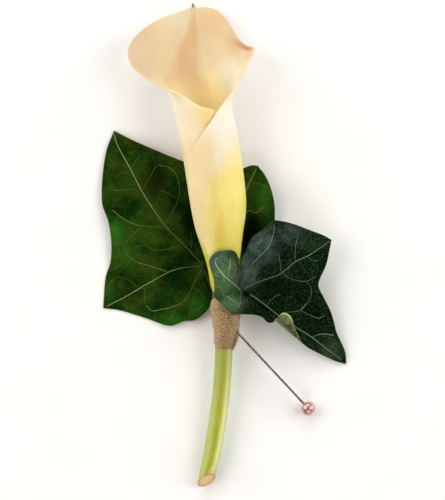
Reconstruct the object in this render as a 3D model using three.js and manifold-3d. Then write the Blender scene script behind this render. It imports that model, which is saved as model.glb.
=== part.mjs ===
// A boutonniere lying on a table: a mini calla lily over two ivy leaves, bound with floral tape,
// with a pearl-headed pin in the binding. Millimetres, +Z up. Seen from above, +X is to the right
// and +Y runs from the cut stem to the flower's tip. The origin is under the middle of its box.
import * as THREE from 'three';
import { mergeVertices } from 'three/addons/utils/BufferGeometryUtils.js';
import Module from 'manifold-3d';

const wasm = await Module();
wasm.setup();

// Driving dimensions
const bladeThickness = 0.7;
const restingHeight = 0.3;
const fitGap = 0.3;
const stemRadius = 2.8;
const boundStemRadius = 2.4;
const stemCutY = -73.4;
const stemCutSlope = 0.62;
const stemCutTilt = 0.42;
const stemTopY = -16.2;
const spatheBaseY = -15.8;
const spatheTurnPitch = 1.05;
const flareStartY = 33;
const flareShape = 3;
const sideFlareShape = 7.5;
const narrowSides = [{ turn: -130, spread: 45, share: 1 }, { turn: 100, spread: 30, share: 0.8 }];
const spadixRadius = 1.75;
const spadixTopY = 33;
const stalkRadius = 0.6;
const tapeTopY = -16.5;
const tapeBottomY = -32.2;
const pinRadius = 0.35;
const pinLength = 38;
const pearlRadius = 2.25;
const pearlCentre = new THREE.Vector3(26.4, -50.9, pearlRadius);
const pinEntry = new THREE.Vector3(3.9, -26.7, 8.9);

// The middle line of stem and flower from the cut end up: y, x, z and the tube's radius.
const middleLine = [
  [-76, -6.1, 2.75, 2.8], [-64, -3.5, 3.9, 2.8], [-54, -1.9, 5.0, 2.8], [-44, -0.7, 6.1, 2.8],
  [-32, 0.0, 7.3, 2.8], [-24, 0.3, 8.3, 2.8], [-16, 0.6, 9.2, 3.1], [-12, 0.5, 9.6, 4.0],
  [-6, 0.3, 10.2, 4.8], [-1, -0.3, 10.8, 5.8], [4.5, -1.0, 11.5, 7.1], [10, -1.3, 12.2, 8.2],
  [16, -1.9, 12.9, 8.7], [28, -3.9, 13.8, 8.9], [36, -5.5, 14.2, 8.9], [42, -6.7, 14.4, 9.0],
  [50, -8.0, 14.6, 9.2], [60, -9.4, 14.7, 9.3], [76, -10.2, 14.7, 9.3],
];

// The tape's outside from its lower edge up: y, x, z and radius.
const tapeLine = [
  [-32.2, 0.05, 7.3, 2.95], [-30.6, 0.4, 7.6, 3.35], [-27.7, 0.75, 8.0, 3.95],
  [-23.5, 0.65, 8.4, 4.25], [-19.3, 0.4, 8.85, 4.75], [-16.5, 0.6, 9.15, 4.4],
];

function cubic(before, from, to, after, t) {
  const start = (to - before) / 2;
  const end = (after - from) / 2;
  const a = 2 * (from - to) + start + end;
  const b = 3 * (to - from) - 2 * start - end;
  return ((a * t + b) * t + start) * t + from;
}

// A smooth line through control points of any number of coordinates, some steps between each two.
function smoothLine(points, steps) {
  const line = [];
  for (let i = 0; i < points.length - 1; i++) {
    const from = points[i];
    const to = points[i + 1];
    const before = points[i - 1] ?? from.map((value, k) => 2 * value - to[k]);
    const after = points[i + 2] ?? to.map((value, k) => 2 * value - from[k]);
    for (let s = 0; s < steps; s++) {
      line.push(from.map((value, k) => cubic(before[k], value, to[k], after[k], s / steps)));
    }
  }
  line.push(points.at(-1));
  return line;
}

// The values of a table of stations at one y, smoothly between them.
function stationAt(stations, y) {
  let i = 0;
  while (i < stations.length - 2 && stations[i + 1][0] < y) i++;
  const from = stations[i];
  const to = stations[i + 1];
  const before = stations[i - 1] ?? from;
  const after = stations[i + 2] ?? to;
  const span = to[0] - from[0];
  const t = THREE.MathUtils.clamp((y - from[0]) / span, 0, 1);
  const [x, z, radius] = [1, 2, 3].map((k) => {
    const start = (to[k] - before[k]) / (to[0] - before[0]) * span;
    const end = (after[k] - from[k]) / (after[0] - from[0]) * span;
    return cubic(to[k] - 2 * start, from[k], to[k], from[k] + 2 * end, t);
  });
  return { x, z, radius };
}

function closedGeometry(positions, index) {
  const geometry = new THREE.BufferGeometry();
  geometry.setAttribute('position', new THREE.Float32BufferAttribute(positions, 3));
  geometry.setIndex(index);
  return geometry;
}

function toSolid(geometry) {
  const bare = geometry.clone();
  bare.deleteAttribute('normal');
  bare.deleteAttribute('uv');
  const merged = mergeVertices(bare, 1e-4);
  return new wasm.Manifold(new wasm.Mesh({
    numProp: 3,
    vertProperties: merged.attributes.position.array,
    triVerts: new Uint32Array(merged.index.array),
  }));
}

function toGeometry(solid) {
  const mesh = solid.getMesh();
  return closedGeometry(Array.from(mesh.vertProperties), Array.from(mesh.triVerts));
}

function join(...geometries) {
  return toGeometry(geometries.map(toSolid).reduce((whole, piece) => whole.add(piece)));
}

function cut(geometry, ...cutters) {
  return toGeometry(cutters.map(toSolid).reduce((whole, piece) => whole.subtract(piece), toSolid(geometry)));
}

// A closed skin through rings of points, first ring lowest in Y, with a flat fan at each end.
function loft(rings) {
  const around = rings[0].length;
  const positions = rings.flat().flatMap((point) => point.toArray());
  const index = [];
  for (let ring = 0; ring < rings.length - 1; ring++) {
    for (let k = 0; k < around; k++) {
      const a = ring * around + k;
      const b = ring * around + (k + 1) % around;
      index.push(a, a + around, b, b, a + around, b + around);
    }
  }
  for (const [ring, flip] of [[0, false], [rings.length - 1, true]]) {
    const middle = positions.length / 3;
    const centre = rings[ring].reduce((sum, point) => sum.add(point), new THREE.Vector3());
    positions.push(...centre.divideScalar(around).toArray());
    for (let k = 0; k < around; k++) {
      const a = ring * around + k;
      const b = ring * around + (k + 1) % around;
      index.push(middle, ...(flip ? [b, a] : [a, b]));
    }
  }
  return closedGeometry(positions, index);
}

// A ring of points across the Y direction.
function ringAt(y, x, z, radiusOf, sides) {
  return Array.from({ length: sides }, (_, k) => {
    const turn = 2 * Math.PI * k / sides;
    const radius = radiusOf(turn);
    return new THREE.Vector3(x + radius * Math.sin(turn), y, z - radius * Math.cos(turn));
  });
}

// A sheet of even thickness about a middle surface. Both faces share its triangles. What would
// reach below the table is flattened on it.
function thicken(middle, thickness) {
  middle.computeVertexNormals();
  const { position, normal } = middle.attributes;
  const count = position.count;
  const positions = [];
  for (const side of [thickness / 2, -thickness / 2]) {
    for (let i = 0; i < count; i++) {
      const z = position.getZ(i) + side * normal.getZ(i);
      positions.push(position.getX(i) + side * normal.getX(i));
      positions.push(position.getY(i) + side * normal.getY(i));
      positions.push(Math.max(z, 0));
    }
  }
  const sheet = Array.from(middle.index.array);
  const index = [];
  const edges = new Set();
  for (let i = 0; i < sheet.length; i += 3) {
    const [a, b, c] = sheet.slice(i, i + 3);
    index.push(a, b, c, a + count, c + count, b + count);
    for (const [from, to] of [[a, b], [b, c], [c, a]]) edges.add(`${from} ${to}`);
  }
  for (const edge of edges) {
    const [from, to] = edge.split(' ').map(Number);
    if (!edges.has(`${to} ${from}`)) {
      index.push(to, from, from + count, to, from + count, to + count);
    }
  }
  return closedGeometry(positions, index);
}

// A round rod along a smooth path.
function rod(points, radius, sides, steps) {
  const path = new THREE.CatmullRomCurve3(points.map((point) => new THREE.Vector3(...point)));
  const section = new THREE.Shape().absarc(0, 0, radius, 0, 2 * Math.PI, false);
  return new THREE.ExtrudeGeometry(section, {
    steps, curveSegments: sides / 2, bevelEnabled: false, extrudePath: path,
  });
}

function smoothMax(a, b, softness) {
  return (a + b + Math.hypot(a - b, softness)) / 2;
}

// Spathe

// The free edge of the spathe, from the hidden inner corner over the lip's tip and the curled
// right corner to the outer corner: x, y, z and the turn round the tube in degrees, counted from
// the tube's back towards +X. Each arc ends at a sharp point.
const hiddenEdge = [[22, -200], [29, -203], [36, -206]];
const frontEdge = [[37.5, 174], [34.1, 192], [30.3, 211], [25.3, 227], [21.5, 238]];
const leftLip = [
  [-2.2, 41.6, 21.6, -209], [-7.5, 43.4, 22.6, -184], [-12.8, 46.6, 22.0, -163],
  [-19.1, 49.4, 20.0, -140], [-24.4, 52.2, 17.8, -122], [-28.4, 55.6, 15.2, -106],
  [-30.0, 59.7, 12.2, -90], [-28.8, 64.1, 8.8, -72], [-24.7, 68.2, 5.4, -53],
  [-20.0, 71.1, 3.0, -36], [-14.4, 73.3, 1.6, -18], [-10.4, 74.6, 0.9, -6],
];
const lipTip = [-9.7, 76.2, 0.7, -3];
const topLip = [
  [-9.0, 74.6, 0.9, 0], [-5.7, 74.9, 1.2, 8], [-2.2, 73.8, 1.9, 19], [0.6, 71.3, 3.0, 31],
  [2.7, 68.1, 5.0, 42], [4.7, 64.8, 7.6, 53], [7.0, 62.5, 10.6, 64],
];
const curledCorner = [9.6, 61.9, 14.4, 72];
const rightLip = [
  [8.8, 59.1, 15.6, 79], [7.2, 56.2, 17.0, 86], [5.3, 51.9, 18.4, 96], [2.8, 48.1, 19.8, 113],
  [0.6, 45.3, 21.0, 128], [-2.1, 41.6, 22.4, 151],
];
const innerBaseTurn = -165;

// A point of the rolled tube. Its wall spirals outwards as it turns, so the flaps lie one over
// the other.
function tubePoint(turn, y) {
  const { x, z, radius } = stationAt(middleLine, y);
  const reach = radius + spatheTurnPitch * turn / 360;
  const angle = THREE.MathUtils.degToRad(turn);
  return [x + reach * Math.sin(angle), y, z - reach * Math.cos(angle)];
}

function spatheEdge() {
  const onTube = ([y, turn]) => [...tubePoint(turn, y), turn];
  const arcs = [
    [...hiddenEdge.map(onTube), ...leftLip, lipTip],
    [lipTip, ...topLip, curledCorner],
    [curledCorner, ...rightLip, ...frontEdge.map(onTube)],
  ];
  return arcs.flatMap((arc, i) => smoothLine(arc, 2).slice(i === 0 ? 0 : 1));
}

// One strip of the spathe from its base to a point of the free edge: up the tube, then flaring
// out to the edge. The two sides stay narrow for longer and flare close to their edge.
function spatheStrip([x, y, z, turn], rows) {
  const baseTurn = turn < 0 ? turn * innerBaseTurn / hiddenEdge[0][1] : turn;
  const tubeEnd = tubePoint(turn, y);
  const flare = [x - tubeEnd[0], 0, z - tubeEnd[2]];
  const narrow = Math.max(...narrowSides.map((side) => {
    return side.share * Math.exp(-(((turn - side.turn) / side.spread) ** 2));
  }));
  const shape = THREE.MathUtils.lerp(flareShape, sideFlareShape, narrow);
  const crowding = 1.4;
  return Array.from({ length: rows + 1 }, (_, row) => {
    const v = 1 - (1 - row / rows) ** crowding;
    const height = THREE.MathUtils.lerp(spatheBaseY, y, v);
    const reach = Math.max(0, (height - flareStartY) / Math.max(y - flareStartY, 1));
    const bend = reach ** shape;
    const point = tubePoint(THREE.MathUtils.lerp(baseTurn, turn, v), height);
    return point.map((value, k) => value + bend * flare[k]);
  });
}

function spathe() {
  const rows = 18;
  const strips = spatheEdge().map((edgePoint) => spatheStrip(edgePoint, rows));
  const index = [];
  for (let column = 0; column < strips.length - 1; column++) {
    for (let row = 0; row < rows; row++) {
      const a = column * (rows + 1) + row;
      const b = a + rows + 1;
      index.push(a, a + 1, b, b, a + 1, b + 1);
    }
  }
  return thicken(closedGeometry(strips.flat(2), index), bladeThickness);
}

// The spike inside the tube, knobbly with florets.
function spadix() {
  const sides = 14;
  const rows = 26;
  const relief = 0.22;
  return loft(Array.from({ length: rows + 1 }, (_, row) => {
    const v = row / rows;
    const y = THREE.MathUtils.lerp(spatheBaseY, spadixTopY, v);
    const { x, z } = stationAt(middleLine, y);
    const taper = Math.sqrt(Math.max(0.04, 1 - Math.max(0, (v - 0.85) / 0.15) ** 2));
    return ringAt(y, x, z, (turn) => {
      const bump = relief * Math.cos(turn * sides / 2 + row * Math.PI);
      return (spadixRadius + bump) * taper;
    }, sides);
  }));
}

// Stem, with its slanting cut end and the neck where the tape squeezes it.
function stemRadiusAt(y) {
  const squeezed = THREE.MathUtils.smoothstep(y, tapeBottomY - 0.8, tapeBottomY - 0.2);
  return THREE.MathUtils.lerp(stemRadius, boundStemRadius, squeezed);
}

function stem() {
  const sides = 16;
  const heights = [stemCutY, -70, -66, -62, -58, -54, -50, -46, -42, -38, -34.5, -33, -32.7, -32.4, -28, -22];
  return loft([...heights, stemTopY].map((y, i) => {
    const { x, z } = stationAt(middleLine, y);
    const ring = ringAt(y, x, z, () => stemRadiusAt(y), sides);
    for (const point of ring) {
      if (i === 0) point.y += stemCutSlope * (point.z - z) + stemCutTilt * (point.x - x);
      point.z = Math.max(point.z, 0);
    }
    return ring;
  }));
}

// Ivy leaves

const backLeaf = {
  junction: [-6.2, -6.6, 3.4],
  veinTurns: [62, 123.5, 202, 240, 350],
  rise: 1.1,
  arcs: [
    [[-34.5, 36.2, 0.3], [-36.9, 29.7, 0.7], [-38.1, 21.6, 1.4], [-38.2, 13.4, 2.0],
      [-36.2, 7.5, 2.6], [-35.3, 0.9, 2.4], [-35.6, -5.0, 1.2], [-37.2, -10.3, -0.4],
      [-37.9, -19.5, -1.6]],
    [[-37.9, -19.5, -1.6], [-33.1, -20.1, -1.4], [-27.8, -21.6, -0.8], [-23.1, -23.1, 0.2],
      [-17.2, -25.0, 0.9], [-12.5, -23.6, 1.3], [-9.1, -23.2, 1.6], [-5.9, -20.9, 2.2],
      [-3.8, -17.8, 2.8], [-3.8, -15.0, 3.1], [-3.9, -11.2, 3.3], [-2.6, -8.6, 3.3]],
    [[-2.6, -8.6, 3.3], [1.2, -9.7, 3.2], [5.9, -8.8, 3.0], [10.6, -6.2, 2.8], [14.7, -1.9, 2.8],
      [16.2, 3.4, 3.2], [15.9, 8.1, 3.8], [15.9, 12.2, 4.4], [15.3, 15.9, 4.8], [14.1, 19.7, 4.9],
      [12.5, 22.7, 4.6], [10.6, 25.1, 4.0]],
    [[10.6, 25.1, 4.0], [8.3, 25.2, 3.9], [3.5, 23.2, 3.5], [-0.6, 21.9, 3.2], [-5.0, 24.0, 3.6],
      [-12.5, 26.4, 4.2], [-20.9, 29.8, 3.6], [-29.1, 33.4, 1.6], [-34.5, 36.2, 0.3]],
  ],
  stalk: [[-7.2, -5.6, 3.3], [-5.9, -8.0, 3.6], [-4.7, -10.8, 4.3], [-3.3, -14.0, 5.1],
    [-2.5, -16.4, 5.6], [-1.7, -19.2, 6.1], [-1.75, -23.5, 5.7]],
};

const frontLeaf = {
  junction: [5.0, -13.9, 12.9],
  veinTurns: [29, 63.6, 126, 197, 325.3],
  rise: 1.0,
  arcs: [
    [[4.8, -7.8, 13.4], [4.5, -4.2, 14.6], [3.2, -1.6, 15.2], [0.2, -1.2, 15.6], [-2.6, -1.8, 14.8],
      [-4.5, -4.4, 13.6], [-4.0, -7.5, 13.2], [-3.2, -10.3, 12.8], [-3.0, -13.1, 12.4],
      [-3.2, -15.6, 12.2], [-1.6, -17.5, 12.6], [0.2, -19.4, 12.8], [2.4, -21.2, 12.4],
      [5.0, -21.3, 11.8], [9.5, -21.6, 10.8], [11.9, -22.3, 10.2], [13.8, -24.0, 9.4]],
    [[13.8, -24.0, 9.4], [15.3, -23.9, 9.3], [16.8, -22.8, 9.1], [18.6, -24.0, 8.4],
      [20.2, -25.4, 7.7], [22.6, -27.8, 6.7], [25.6, -31.2, 5.3], [28.6, -33.1, 4.0],
      [32.5, -35.0, 2.4], [35.3, -36.2, 1.2], [38.3, -37.0, 0.25]],
    [[38.3, -37.0, 0.25], [38.1, -33.6, 1.4], [36.8, -30.3, 2.6], [35.2, -26.9, 3.8],
      [34.5, -24.1, 4.6], [33.3, -20.3, 5.8], [31.2, -16.1, 7.0], [29.6, -12.8, 7.8],
      [29.9, -10.3, 8.2], [31.9, -5.9, 8.4], [33.1, -0.6, 8.2], [33.6, 1.9, 7.6]],
    [[33.6, 1.9, 7.6], [31.2, 3.3, 8.2], [27.5, 4.7, 9.0], [21.9, 6.8, 9.8], [18.8, 7.6, 9.9],
      [15.9, 8.1, 9.6]],
    [[15.9, 8.1, 9.6], [14.4, 7.1, 9.2], [12.1, 5.0, 9.0], [9.0, 2.9, 9.6], [7.3, -0.4, 10.8],
      [5.4, -4.7, 12.4], [4.8, -7.8, 13.4]],
  ],
  stalk: [[6.0, -12.6, 12.7], [5.0, -14.4, 12.4], [4.7, -15.8, 12.0], [4.2, -17.2, 11.5],
    [3.5, -19.0, 10.7], [3.1, -23.0, 10.1]],
};

// How far a leaf's blade swells at a direction from its stalk: nothing on a main vein, full
// between two of them, and nothing on both sides of the stalk.
function swell(turn, veinTurns) {
  for (let i = 0; i < veinTurns.length - 1; i++) {
    const share = (turn - veinTurns[i]) / (veinTurns[i + 1] - veinTurns[i]);
    const beside = veinTurns[i + 1] - veinTurns[i] > 100 ? 0 : 1;
    if (share >= 0 && share <= 1) return beside * Math.sin(Math.PI * share) ** 2;
  }
  return 0;
}

// Keeps the back leaf under the tube, and lays the front leaf over tube and tape.
function clearOfTube(x, y, z, above) {
  const tube = stationAt(middleLine, y);
  const binding = stationAt(tapeLine, y);
  const pastTape = THREE.MathUtils.smoothstep(y, tapeTopY, tapeTopY + 6);
  const core = THREE.MathUtils.lerp(binding.radius, tube.radius, pastTape);
  const flaps = above ? 0.7 * spatheTurnPitch : 0.1;
  const wall = core + flaps + bladeThickness + fitGap;
  const across = (x - tube.x) / wall;
  if (Math.abs(across) >= 1) return z;
  const bulge = wall * Math.sqrt(1 - across * across);
  const softness = 0.5;
  return above
    ? smoothMax(z, tube.z + bulge, softness)
    : -smoothMax(-z, bulge - tube.z, softness);
}

function leaf({ junction, veinTurns, rise, arcs, stalk }, above) {
  const rings = 6;
  const margin = arcs.flatMap((arc) => smoothLine(arc, 2).slice(0, -1));
  const middle = [...junction];
  for (let ring = 1; ring <= rings; ring++) {
    const t = ring / rings;
    for (const [x, y, z] of margin) {
      const turn = THREE.MathUtils.radToDeg(Math.atan2(y - junction[1], x - junction[0]));
      const lift = rise * swell(THREE.MathUtils.euclideanModulo(turn, 360), veinTurns) * 4 * t * (1 - t);
      const px = THREE.MathUtils.lerp(junction[0], x, t);
      const py = THREE.MathUtils.lerp(junction[1], y, t);
      const pz = THREE.MathUtils.lerp(junction[2], z, t) + lift;
      middle.push(px, py, Math.max(clearOfTube(px, py, pz, above), restingHeight));
    }
  }
  const around = margin.length;
  const index = [];
  for (let k = 0; k < around; k++) {
    const next = (k + 1) % around;
    index.push(0, 1 + k, 1 + next);
    for (let ring = 1; ring < rings; ring++) {
      const a = 1 + (ring - 1) * around + k;
      const b = 1 + (ring - 1) * around + next;
      index.push(a, a + around, b, b, a + around, b + around);
    }
  }
  const blade = thicken(closedGeometry(middle, index), bladeThickness);
  return join(blade, rod(stalk, stalkRadius, 8, 12));
}

// Pin and pearl head, along the line from the pearl into the binding.
const pinDirection = pinEntry.clone().sub(pearlCentre).normalize();
const alongPin = new THREE.Quaternion().setFromUnitVectors(new THREE.Vector3(0, 1, 0), pinDirection);

function pinRod(radius, from, to, tipLength) {
  const profile = [[0, from], [radius, from], [radius, to - tipLength], [0, to]];
  const points = profile.map(([r, y]) => new THREE.Vector2(r, y));
  return new THREE.LatheGeometry(points, 8)
    .applyQuaternion(alongPin)
    .translate(...pearlCentre.toArray());
}

const pinChannel = pinRod(pinRadius + fitGap, -fitGap, pinLength + fitGap, 0.1);

function pearl() {
  const ball = new THREE.SphereGeometry(pearlRadius, 18, 11).rotateX(Math.PI / 2);
  return cut(ball.translate(...pearlCentre.toArray()), pinChannel);
}

// Tape, wound in a rising spiral whose laps stand out a little, with room for what it binds.
function tape() {
  const sides = 24;
  const rows = 15;
  const lapHeight = 5.2;
  const lapRelief = 0.22;
  const outside = loft(Array.from({ length: rows + 1 }, (_, row) => {
    const y = THREE.MathUtils.lerp(tapeBottomY, tapeTopY, row / rows);
    const { x, z, radius } = stationAt(tapeLine, y);
    return ringAt(y, x, z, (turn) => {
      const lap = (y - tapeBottomY) / lapHeight + turn / (2 * Math.PI);
      return radius - lapRelief * (1 - (lap - Math.floor(lap))) + lapRelief / 2;
    }, sides);
  }));
  const stemRoom = loft([tapeBottomY - 1, tapeBottomY, -28, -24, -20, tapeTopY + 1].map((y) => {
    const { x, z } = stationAt(middleLine, y);
    return ringAt(y, x, z, () => boundStemRadius + fitGap * 0.8, 16);
  }));
  const stalkRooms = [backLeaf, frontLeaf].map(({ stalk }) => {
    const beyondEnd = [stalk.at(-1)[0], stalk.at(-1)[1] - fitGap, stalk.at(-1)[2]];
    return rod([...stalk.slice(1), beyondEnd], stalkRadius + fitGap * 0.8, 8, 14);
  });
  return cut(outside, stemRoom, ...stalkRooms, pinChannel);
}

// Assembly
const group = new THREE.Group();

function add(name, geometry, color, roughness, metalness = 0) {
  const mesh = new THREE.Mesh(geometry, new THREE.MeshStandardMaterial({ color, roughness, metalness }));
  mesh.name = name;
  group.add(mesh);
}

add('calla_spathe', spathe(), '#f3deb4', 0.5);
add('calla_spadix', spadix(), '#e9c34a', 0.7);
add('calla_stem', cut(stem(), pinChannel), '#b8bb58', 0.5);
add('ivy_leaf_back', leaf(backLeaf, false), '#21400f', 0.45);
add('ivy_leaf_front', leaf(frontLeaf, true), '#1d3524', 0.35);
add('stem_wrap', tape(), '#8d7149', 0.8);
add('pin_shaft', pinRod(pinRadius, 0, pinLength, 3), '#9a9a98', 0.3, 1);
add('pin_pearl', pearl(), '#c79a9b', 0.2, 0.4);

// The origin moves to the middle of the box's floor.
const box = new THREE.Box3().setFromObject(group, true);
const middle = box.getCenter(new THREE.Vector3());
group.position.set(-middle.x, -middle.y, -box.min.z);

export default group;
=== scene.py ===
import bisect
import math

import bmesh
import bpy
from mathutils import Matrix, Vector, kdtree, noise


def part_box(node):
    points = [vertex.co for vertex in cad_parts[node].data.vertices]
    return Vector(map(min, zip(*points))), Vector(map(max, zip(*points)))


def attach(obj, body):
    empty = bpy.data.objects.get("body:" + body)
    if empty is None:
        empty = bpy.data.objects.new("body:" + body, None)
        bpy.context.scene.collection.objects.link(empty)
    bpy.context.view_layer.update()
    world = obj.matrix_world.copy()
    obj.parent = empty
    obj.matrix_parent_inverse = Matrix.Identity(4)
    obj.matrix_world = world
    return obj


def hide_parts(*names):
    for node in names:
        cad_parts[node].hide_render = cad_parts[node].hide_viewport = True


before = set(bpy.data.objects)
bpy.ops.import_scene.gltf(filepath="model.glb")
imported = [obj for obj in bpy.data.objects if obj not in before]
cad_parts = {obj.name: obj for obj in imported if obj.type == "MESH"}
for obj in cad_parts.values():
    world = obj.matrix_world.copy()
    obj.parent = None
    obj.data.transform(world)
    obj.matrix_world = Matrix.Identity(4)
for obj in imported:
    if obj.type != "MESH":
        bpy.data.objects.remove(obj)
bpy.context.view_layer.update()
print("frame loaded:", ", ".join(sorted(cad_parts)))

# Lengths in this script are millimetres unless a comment says otherwise. The drawing's zero is a
# point on the flower's middle line, and the pearl's middle says where the frame puts it.
mm = 0.001
mergeDistance = 0.0005  # points of one grid that are closer than this become one
pearlRadius = 2.25
pearlCentre = Vector((26.4, -50.9, pearlRadius))  # it lies on the table
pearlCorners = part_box("pin_pearl")
frameShift = (pearlCorners[0] + pearlCorners[1]) / 2 / mm - pearlCentre


# Small helpers for curves and shapes

def lerp(a, b, t):
    return a + (b - a) * t


def clamp(value, low=0.0, high=1.0):
    return max(low, min(high, value))


def smoothStep(value, low, high):
    t = clamp((value - low) / (high - low))
    return t * t * (3 - 2 * t)


def bell(distance, width):
    return math.exp(-(distance / width) ** 2)


def cubic(before, start, end, after, t):
    out = (end - before) / 2
    back = (after - start) / 2
    a = 2 * (start - end) + out + back
    b = 3 * (end - start) - 2 * out - back
    return ((a * t + b) * t + out) * t + start


# A smooth line through control points, some steps between each two.
def smoothLine(points, steps):
    line = []
    for i in range(len(points) - 1):
        start, end = points[i], points[i + 1]
        before = points[i - 1] if i else [2 * p - q for p, q in zip(start, end)]
        after = points[i + 2] if i + 2 < len(points) else [2 * q - p for p, q in zip(start, end)]
        for s in range(steps):
            line.append([cubic(*row, s / steps) for row in zip(before, start, end, after)])
    line.append(list(points[-1]))
    return line


# The values of a table of stations at one y, smoothly between them.
def stationAt(stations, y):
    i = 0
    while i < len(stations) - 2 and stations[i + 1][0] < y:
        i += 1
    start, end = stations[i], stations[i + 1]
    before = stations[i - 1] if i else start
    after = stations[i + 2] if i + 2 < len(stations) else end
    span = end[0] - start[0]
    t = clamp((y - start[0]) / span)
    values = []
    for k in range(1, len(start)):
        out = (end[k] - before[k]) / (end[0] - before[0]) * span
        back = (after[k] - start[k]) / (after[0] - start[0]) * span
        values.append(cubic(end[k] - 2 * out, start[k], end[k], start[k] + 2 * back, t))
    return values


def smoothMax(a, b, softness):
    return (a + b + math.hypot(a - b, softness)) / 2


def place(point):
    return (Vector(point) + frameShift) * mm


# A point on a round section at y, with its middle at x and z. The turn starts at the back and goes
# towards the right.
def onRound(x, y, z, radius, turn):
    return Vector((x + radius * math.sin(turn), y, z - radius * math.cos(turn)))


# Lays a flat grid and sends each of its points to where pointAt(u, v) says, u and v from 0 to 1.
# pointAt also gives the values of the named attributes there.
def mappedGrid(bm, columns, rows, pointAt, attributes=(), materialIndex=0):
    floats = bm.verts.layers.float
    layers = [floats.get(name) or floats.new(name) for name in attributes]
    before = len(bm.faces)
    grid = bmesh.ops.create_grid(bm, x_segments=columns, y_segments=rows, size=0.5)
    for vertex in grid["verts"]:
        point, values = pointAt(vertex.co.x + 0.5, vertex.co.y + 0.5)
        vertex.co = place(point)
        for layer, value in zip(layers, values):
            vertex[layer] = value
    bmesh.ops.remove_doubles(bm, verts=grid["verts"], dist=mergeDistance * mm)
    bm.faces.ensure_lookup_table()
    for face in bm.faces[before:]:
        face.material_index = materialIndex


# Turns an open sheet so that its faces look the way that wanted(point) gives.
def faceTowards(bm, wanted):
    bmesh.ops.recalc_face_normals(bm, faces=bm.faces)
    agree = sum(f.normal.dot(wanted(f.calc_center_median())) * f.calc_area() for f in bm.faces)
    if agree < 0:
        bmesh.ops.reverse_faces(bm, faces=bm.faces)


def makePiece(bm, name, materials, slot, nodes=()):
    mesh = bpy.data.meshes.new(name)
    bm.to_mesh(mesh)
    bm.free()
    mesh.shade_smooth()
    for material in materials:
        mesh.materials.append(material)
    piece = bpy.data.objects.new(name, mesh)
    bpy.context.collection.objects.link(piece)
    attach(piece, "root")
    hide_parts(*nodes)
    return piece


# A closed shell with its faces turned outwards.
def makeShell(bm, *about):
    bmesh.ops.recalc_face_normals(bm, faces=bm.faces)
    makePiece(bm, *about)


# An open sheet that faces the way that wanted(point) gives. Its first material is on that face, its
# second on the other and its third on the narrow edge.
def makeSheet(bm, wanted, thickness, rimWidth, *about):
    faceTowards(bm, wanted)
    piece = makePiece(bm, *about)
    wall = piece.modifiers.new("wall", "SOLIDIFY")
    wall.thickness = thickness * mm
    wall.offset = 0
    wall.material_offset = 1
    wall.material_offset_rim = 2
    rim = piece.modifiers.new("rim", "BEVEL")
    rim.width = rimWidth * mm
    rim.segments = 2
    rim.limit_method = "ANGLE"
    rim.angle_limit = math.radians(60)


def upwards(point):
    return Vector((0, 0, 1))


# A round tube along points, closed where radiusAt(u) comes down to nothing at its two ends.
def tubeAlong(bm, path, radiusAt, sides):
    count = len(path) - 1
    points = [Vector(p) for p in path]

    def ringPoint(u, v):
        i = round(u * count)
        ahead = (points[min(i + 1, count)] - points[max(i - 1, 0)]).normalized()
        side = ahead.cross(Vector((0, 0, 1))).normalized()
        up = side.cross(ahead)
        turn = 2 * math.pi * v
        return points[i] + (side * math.cos(turn) + up * math.sin(turn)) * radiusAt(u), ()

    mappedGrid(bm, count, sides, ringPoint)


# A soft spot round (middleX, middleY), and the strongest of some spots with their shares.
def spot(x, y, middleX, middleY, halfX, halfY):
    return math.exp(-((x - middleX) / halfX) ** 2 - ((y - middleY) / halfY) ** 2)


def strongest(spots, x, y):
    return max((share * spot(x, y, *where) for *where, share in spots), default=0.0)


# Materials

def hexColor(code):
    def linear(part):
        value = int(part, 16) / 255
        return value / 12.92 if value <= 0.04045 else ((value + 0.055) / 1.055) ** 2.4
    return (linear(code[1:3]), linear(code[3:5]), linear(code[5:7]), 1.0)


# The first output in use: a Mix node has one for each kind of value.
def firstOutput(node):
    return next(output for output in node.outputs if output.enabled)


# Adds a node with its inputs, its settings and, on a ramp, its stops. An input is a number, a
# colour code, the name of an attribute of the mesh, one output of a node, or a node whose first
# output it takes.
def addNode(tree, kind, inputs=None, stops=(), **settings):
    node = tree.nodes.new("ShaderNode" + kind)
    for name, value in settings.items():
        setattr(node, name, value)
    for socket, value in (inputs or {}).items():
        if isinstance(value, str) and not value.startswith("#"):
            value = addNode(tree, "Attribute", attribute_name=value)
        if isinstance(value, bpy.types.Node):
            value = firstOutput(value)
        if isinstance(value, bpy.types.NodeSocket):
            tree.links.new(value, node.inputs[socket])
        else:
            node.inputs[socket].default_value = hexColor(value) if isinstance(value, str) else value
    for i, (position, code) in enumerate(stops):
        ramp = node.color_ramp
        element = ramp.elements[i] if i < 2 else ramp.elements.new(position)
        element.position = position
        element.color = hexColor(code)
    return node


# A new material with fixed numbers on its shader, and the shaded point in millimetres: the Scale of
# a pattern is then how many of its grains or cells lie in a millimetre.
def newMaterial(name, **numbers):
    material = bpy.data.materials.new(name)
    material.use_nodes = True
    tree = material.node_tree
    shader = tree.nodes["Principled BSDF"]
    for socket, value in numbers.items():
        shader.inputs[socket.replace("_", " ")].default_value = value
    coordinates = addNode(tree, "TexCoord")
    flat = addNode(tree, "Mapping", {"Vector": coordinates.outputs["Object"], "Scale": [1 / mm] * 3})
    return material, tree, shader, flat


# Lays tints over a colour. Each is what drives it, where that starts and where it is full, the
# tint's share where it is full, and the tint.
def tinted(tree, color, tints):
    for driver, start, full, share, tint in tints:
        limits = {"Value": driver, "From Min": start, "From Max": full, "To Max": share}
        factor = addNode(tree, "MapRange", limits, interpolation_type="SMOOTHSTEP")
        color = addNode(tree, "Mix", {0: factor, 6: color, 7: tint}, data_type="RGBA")
    return color


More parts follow.
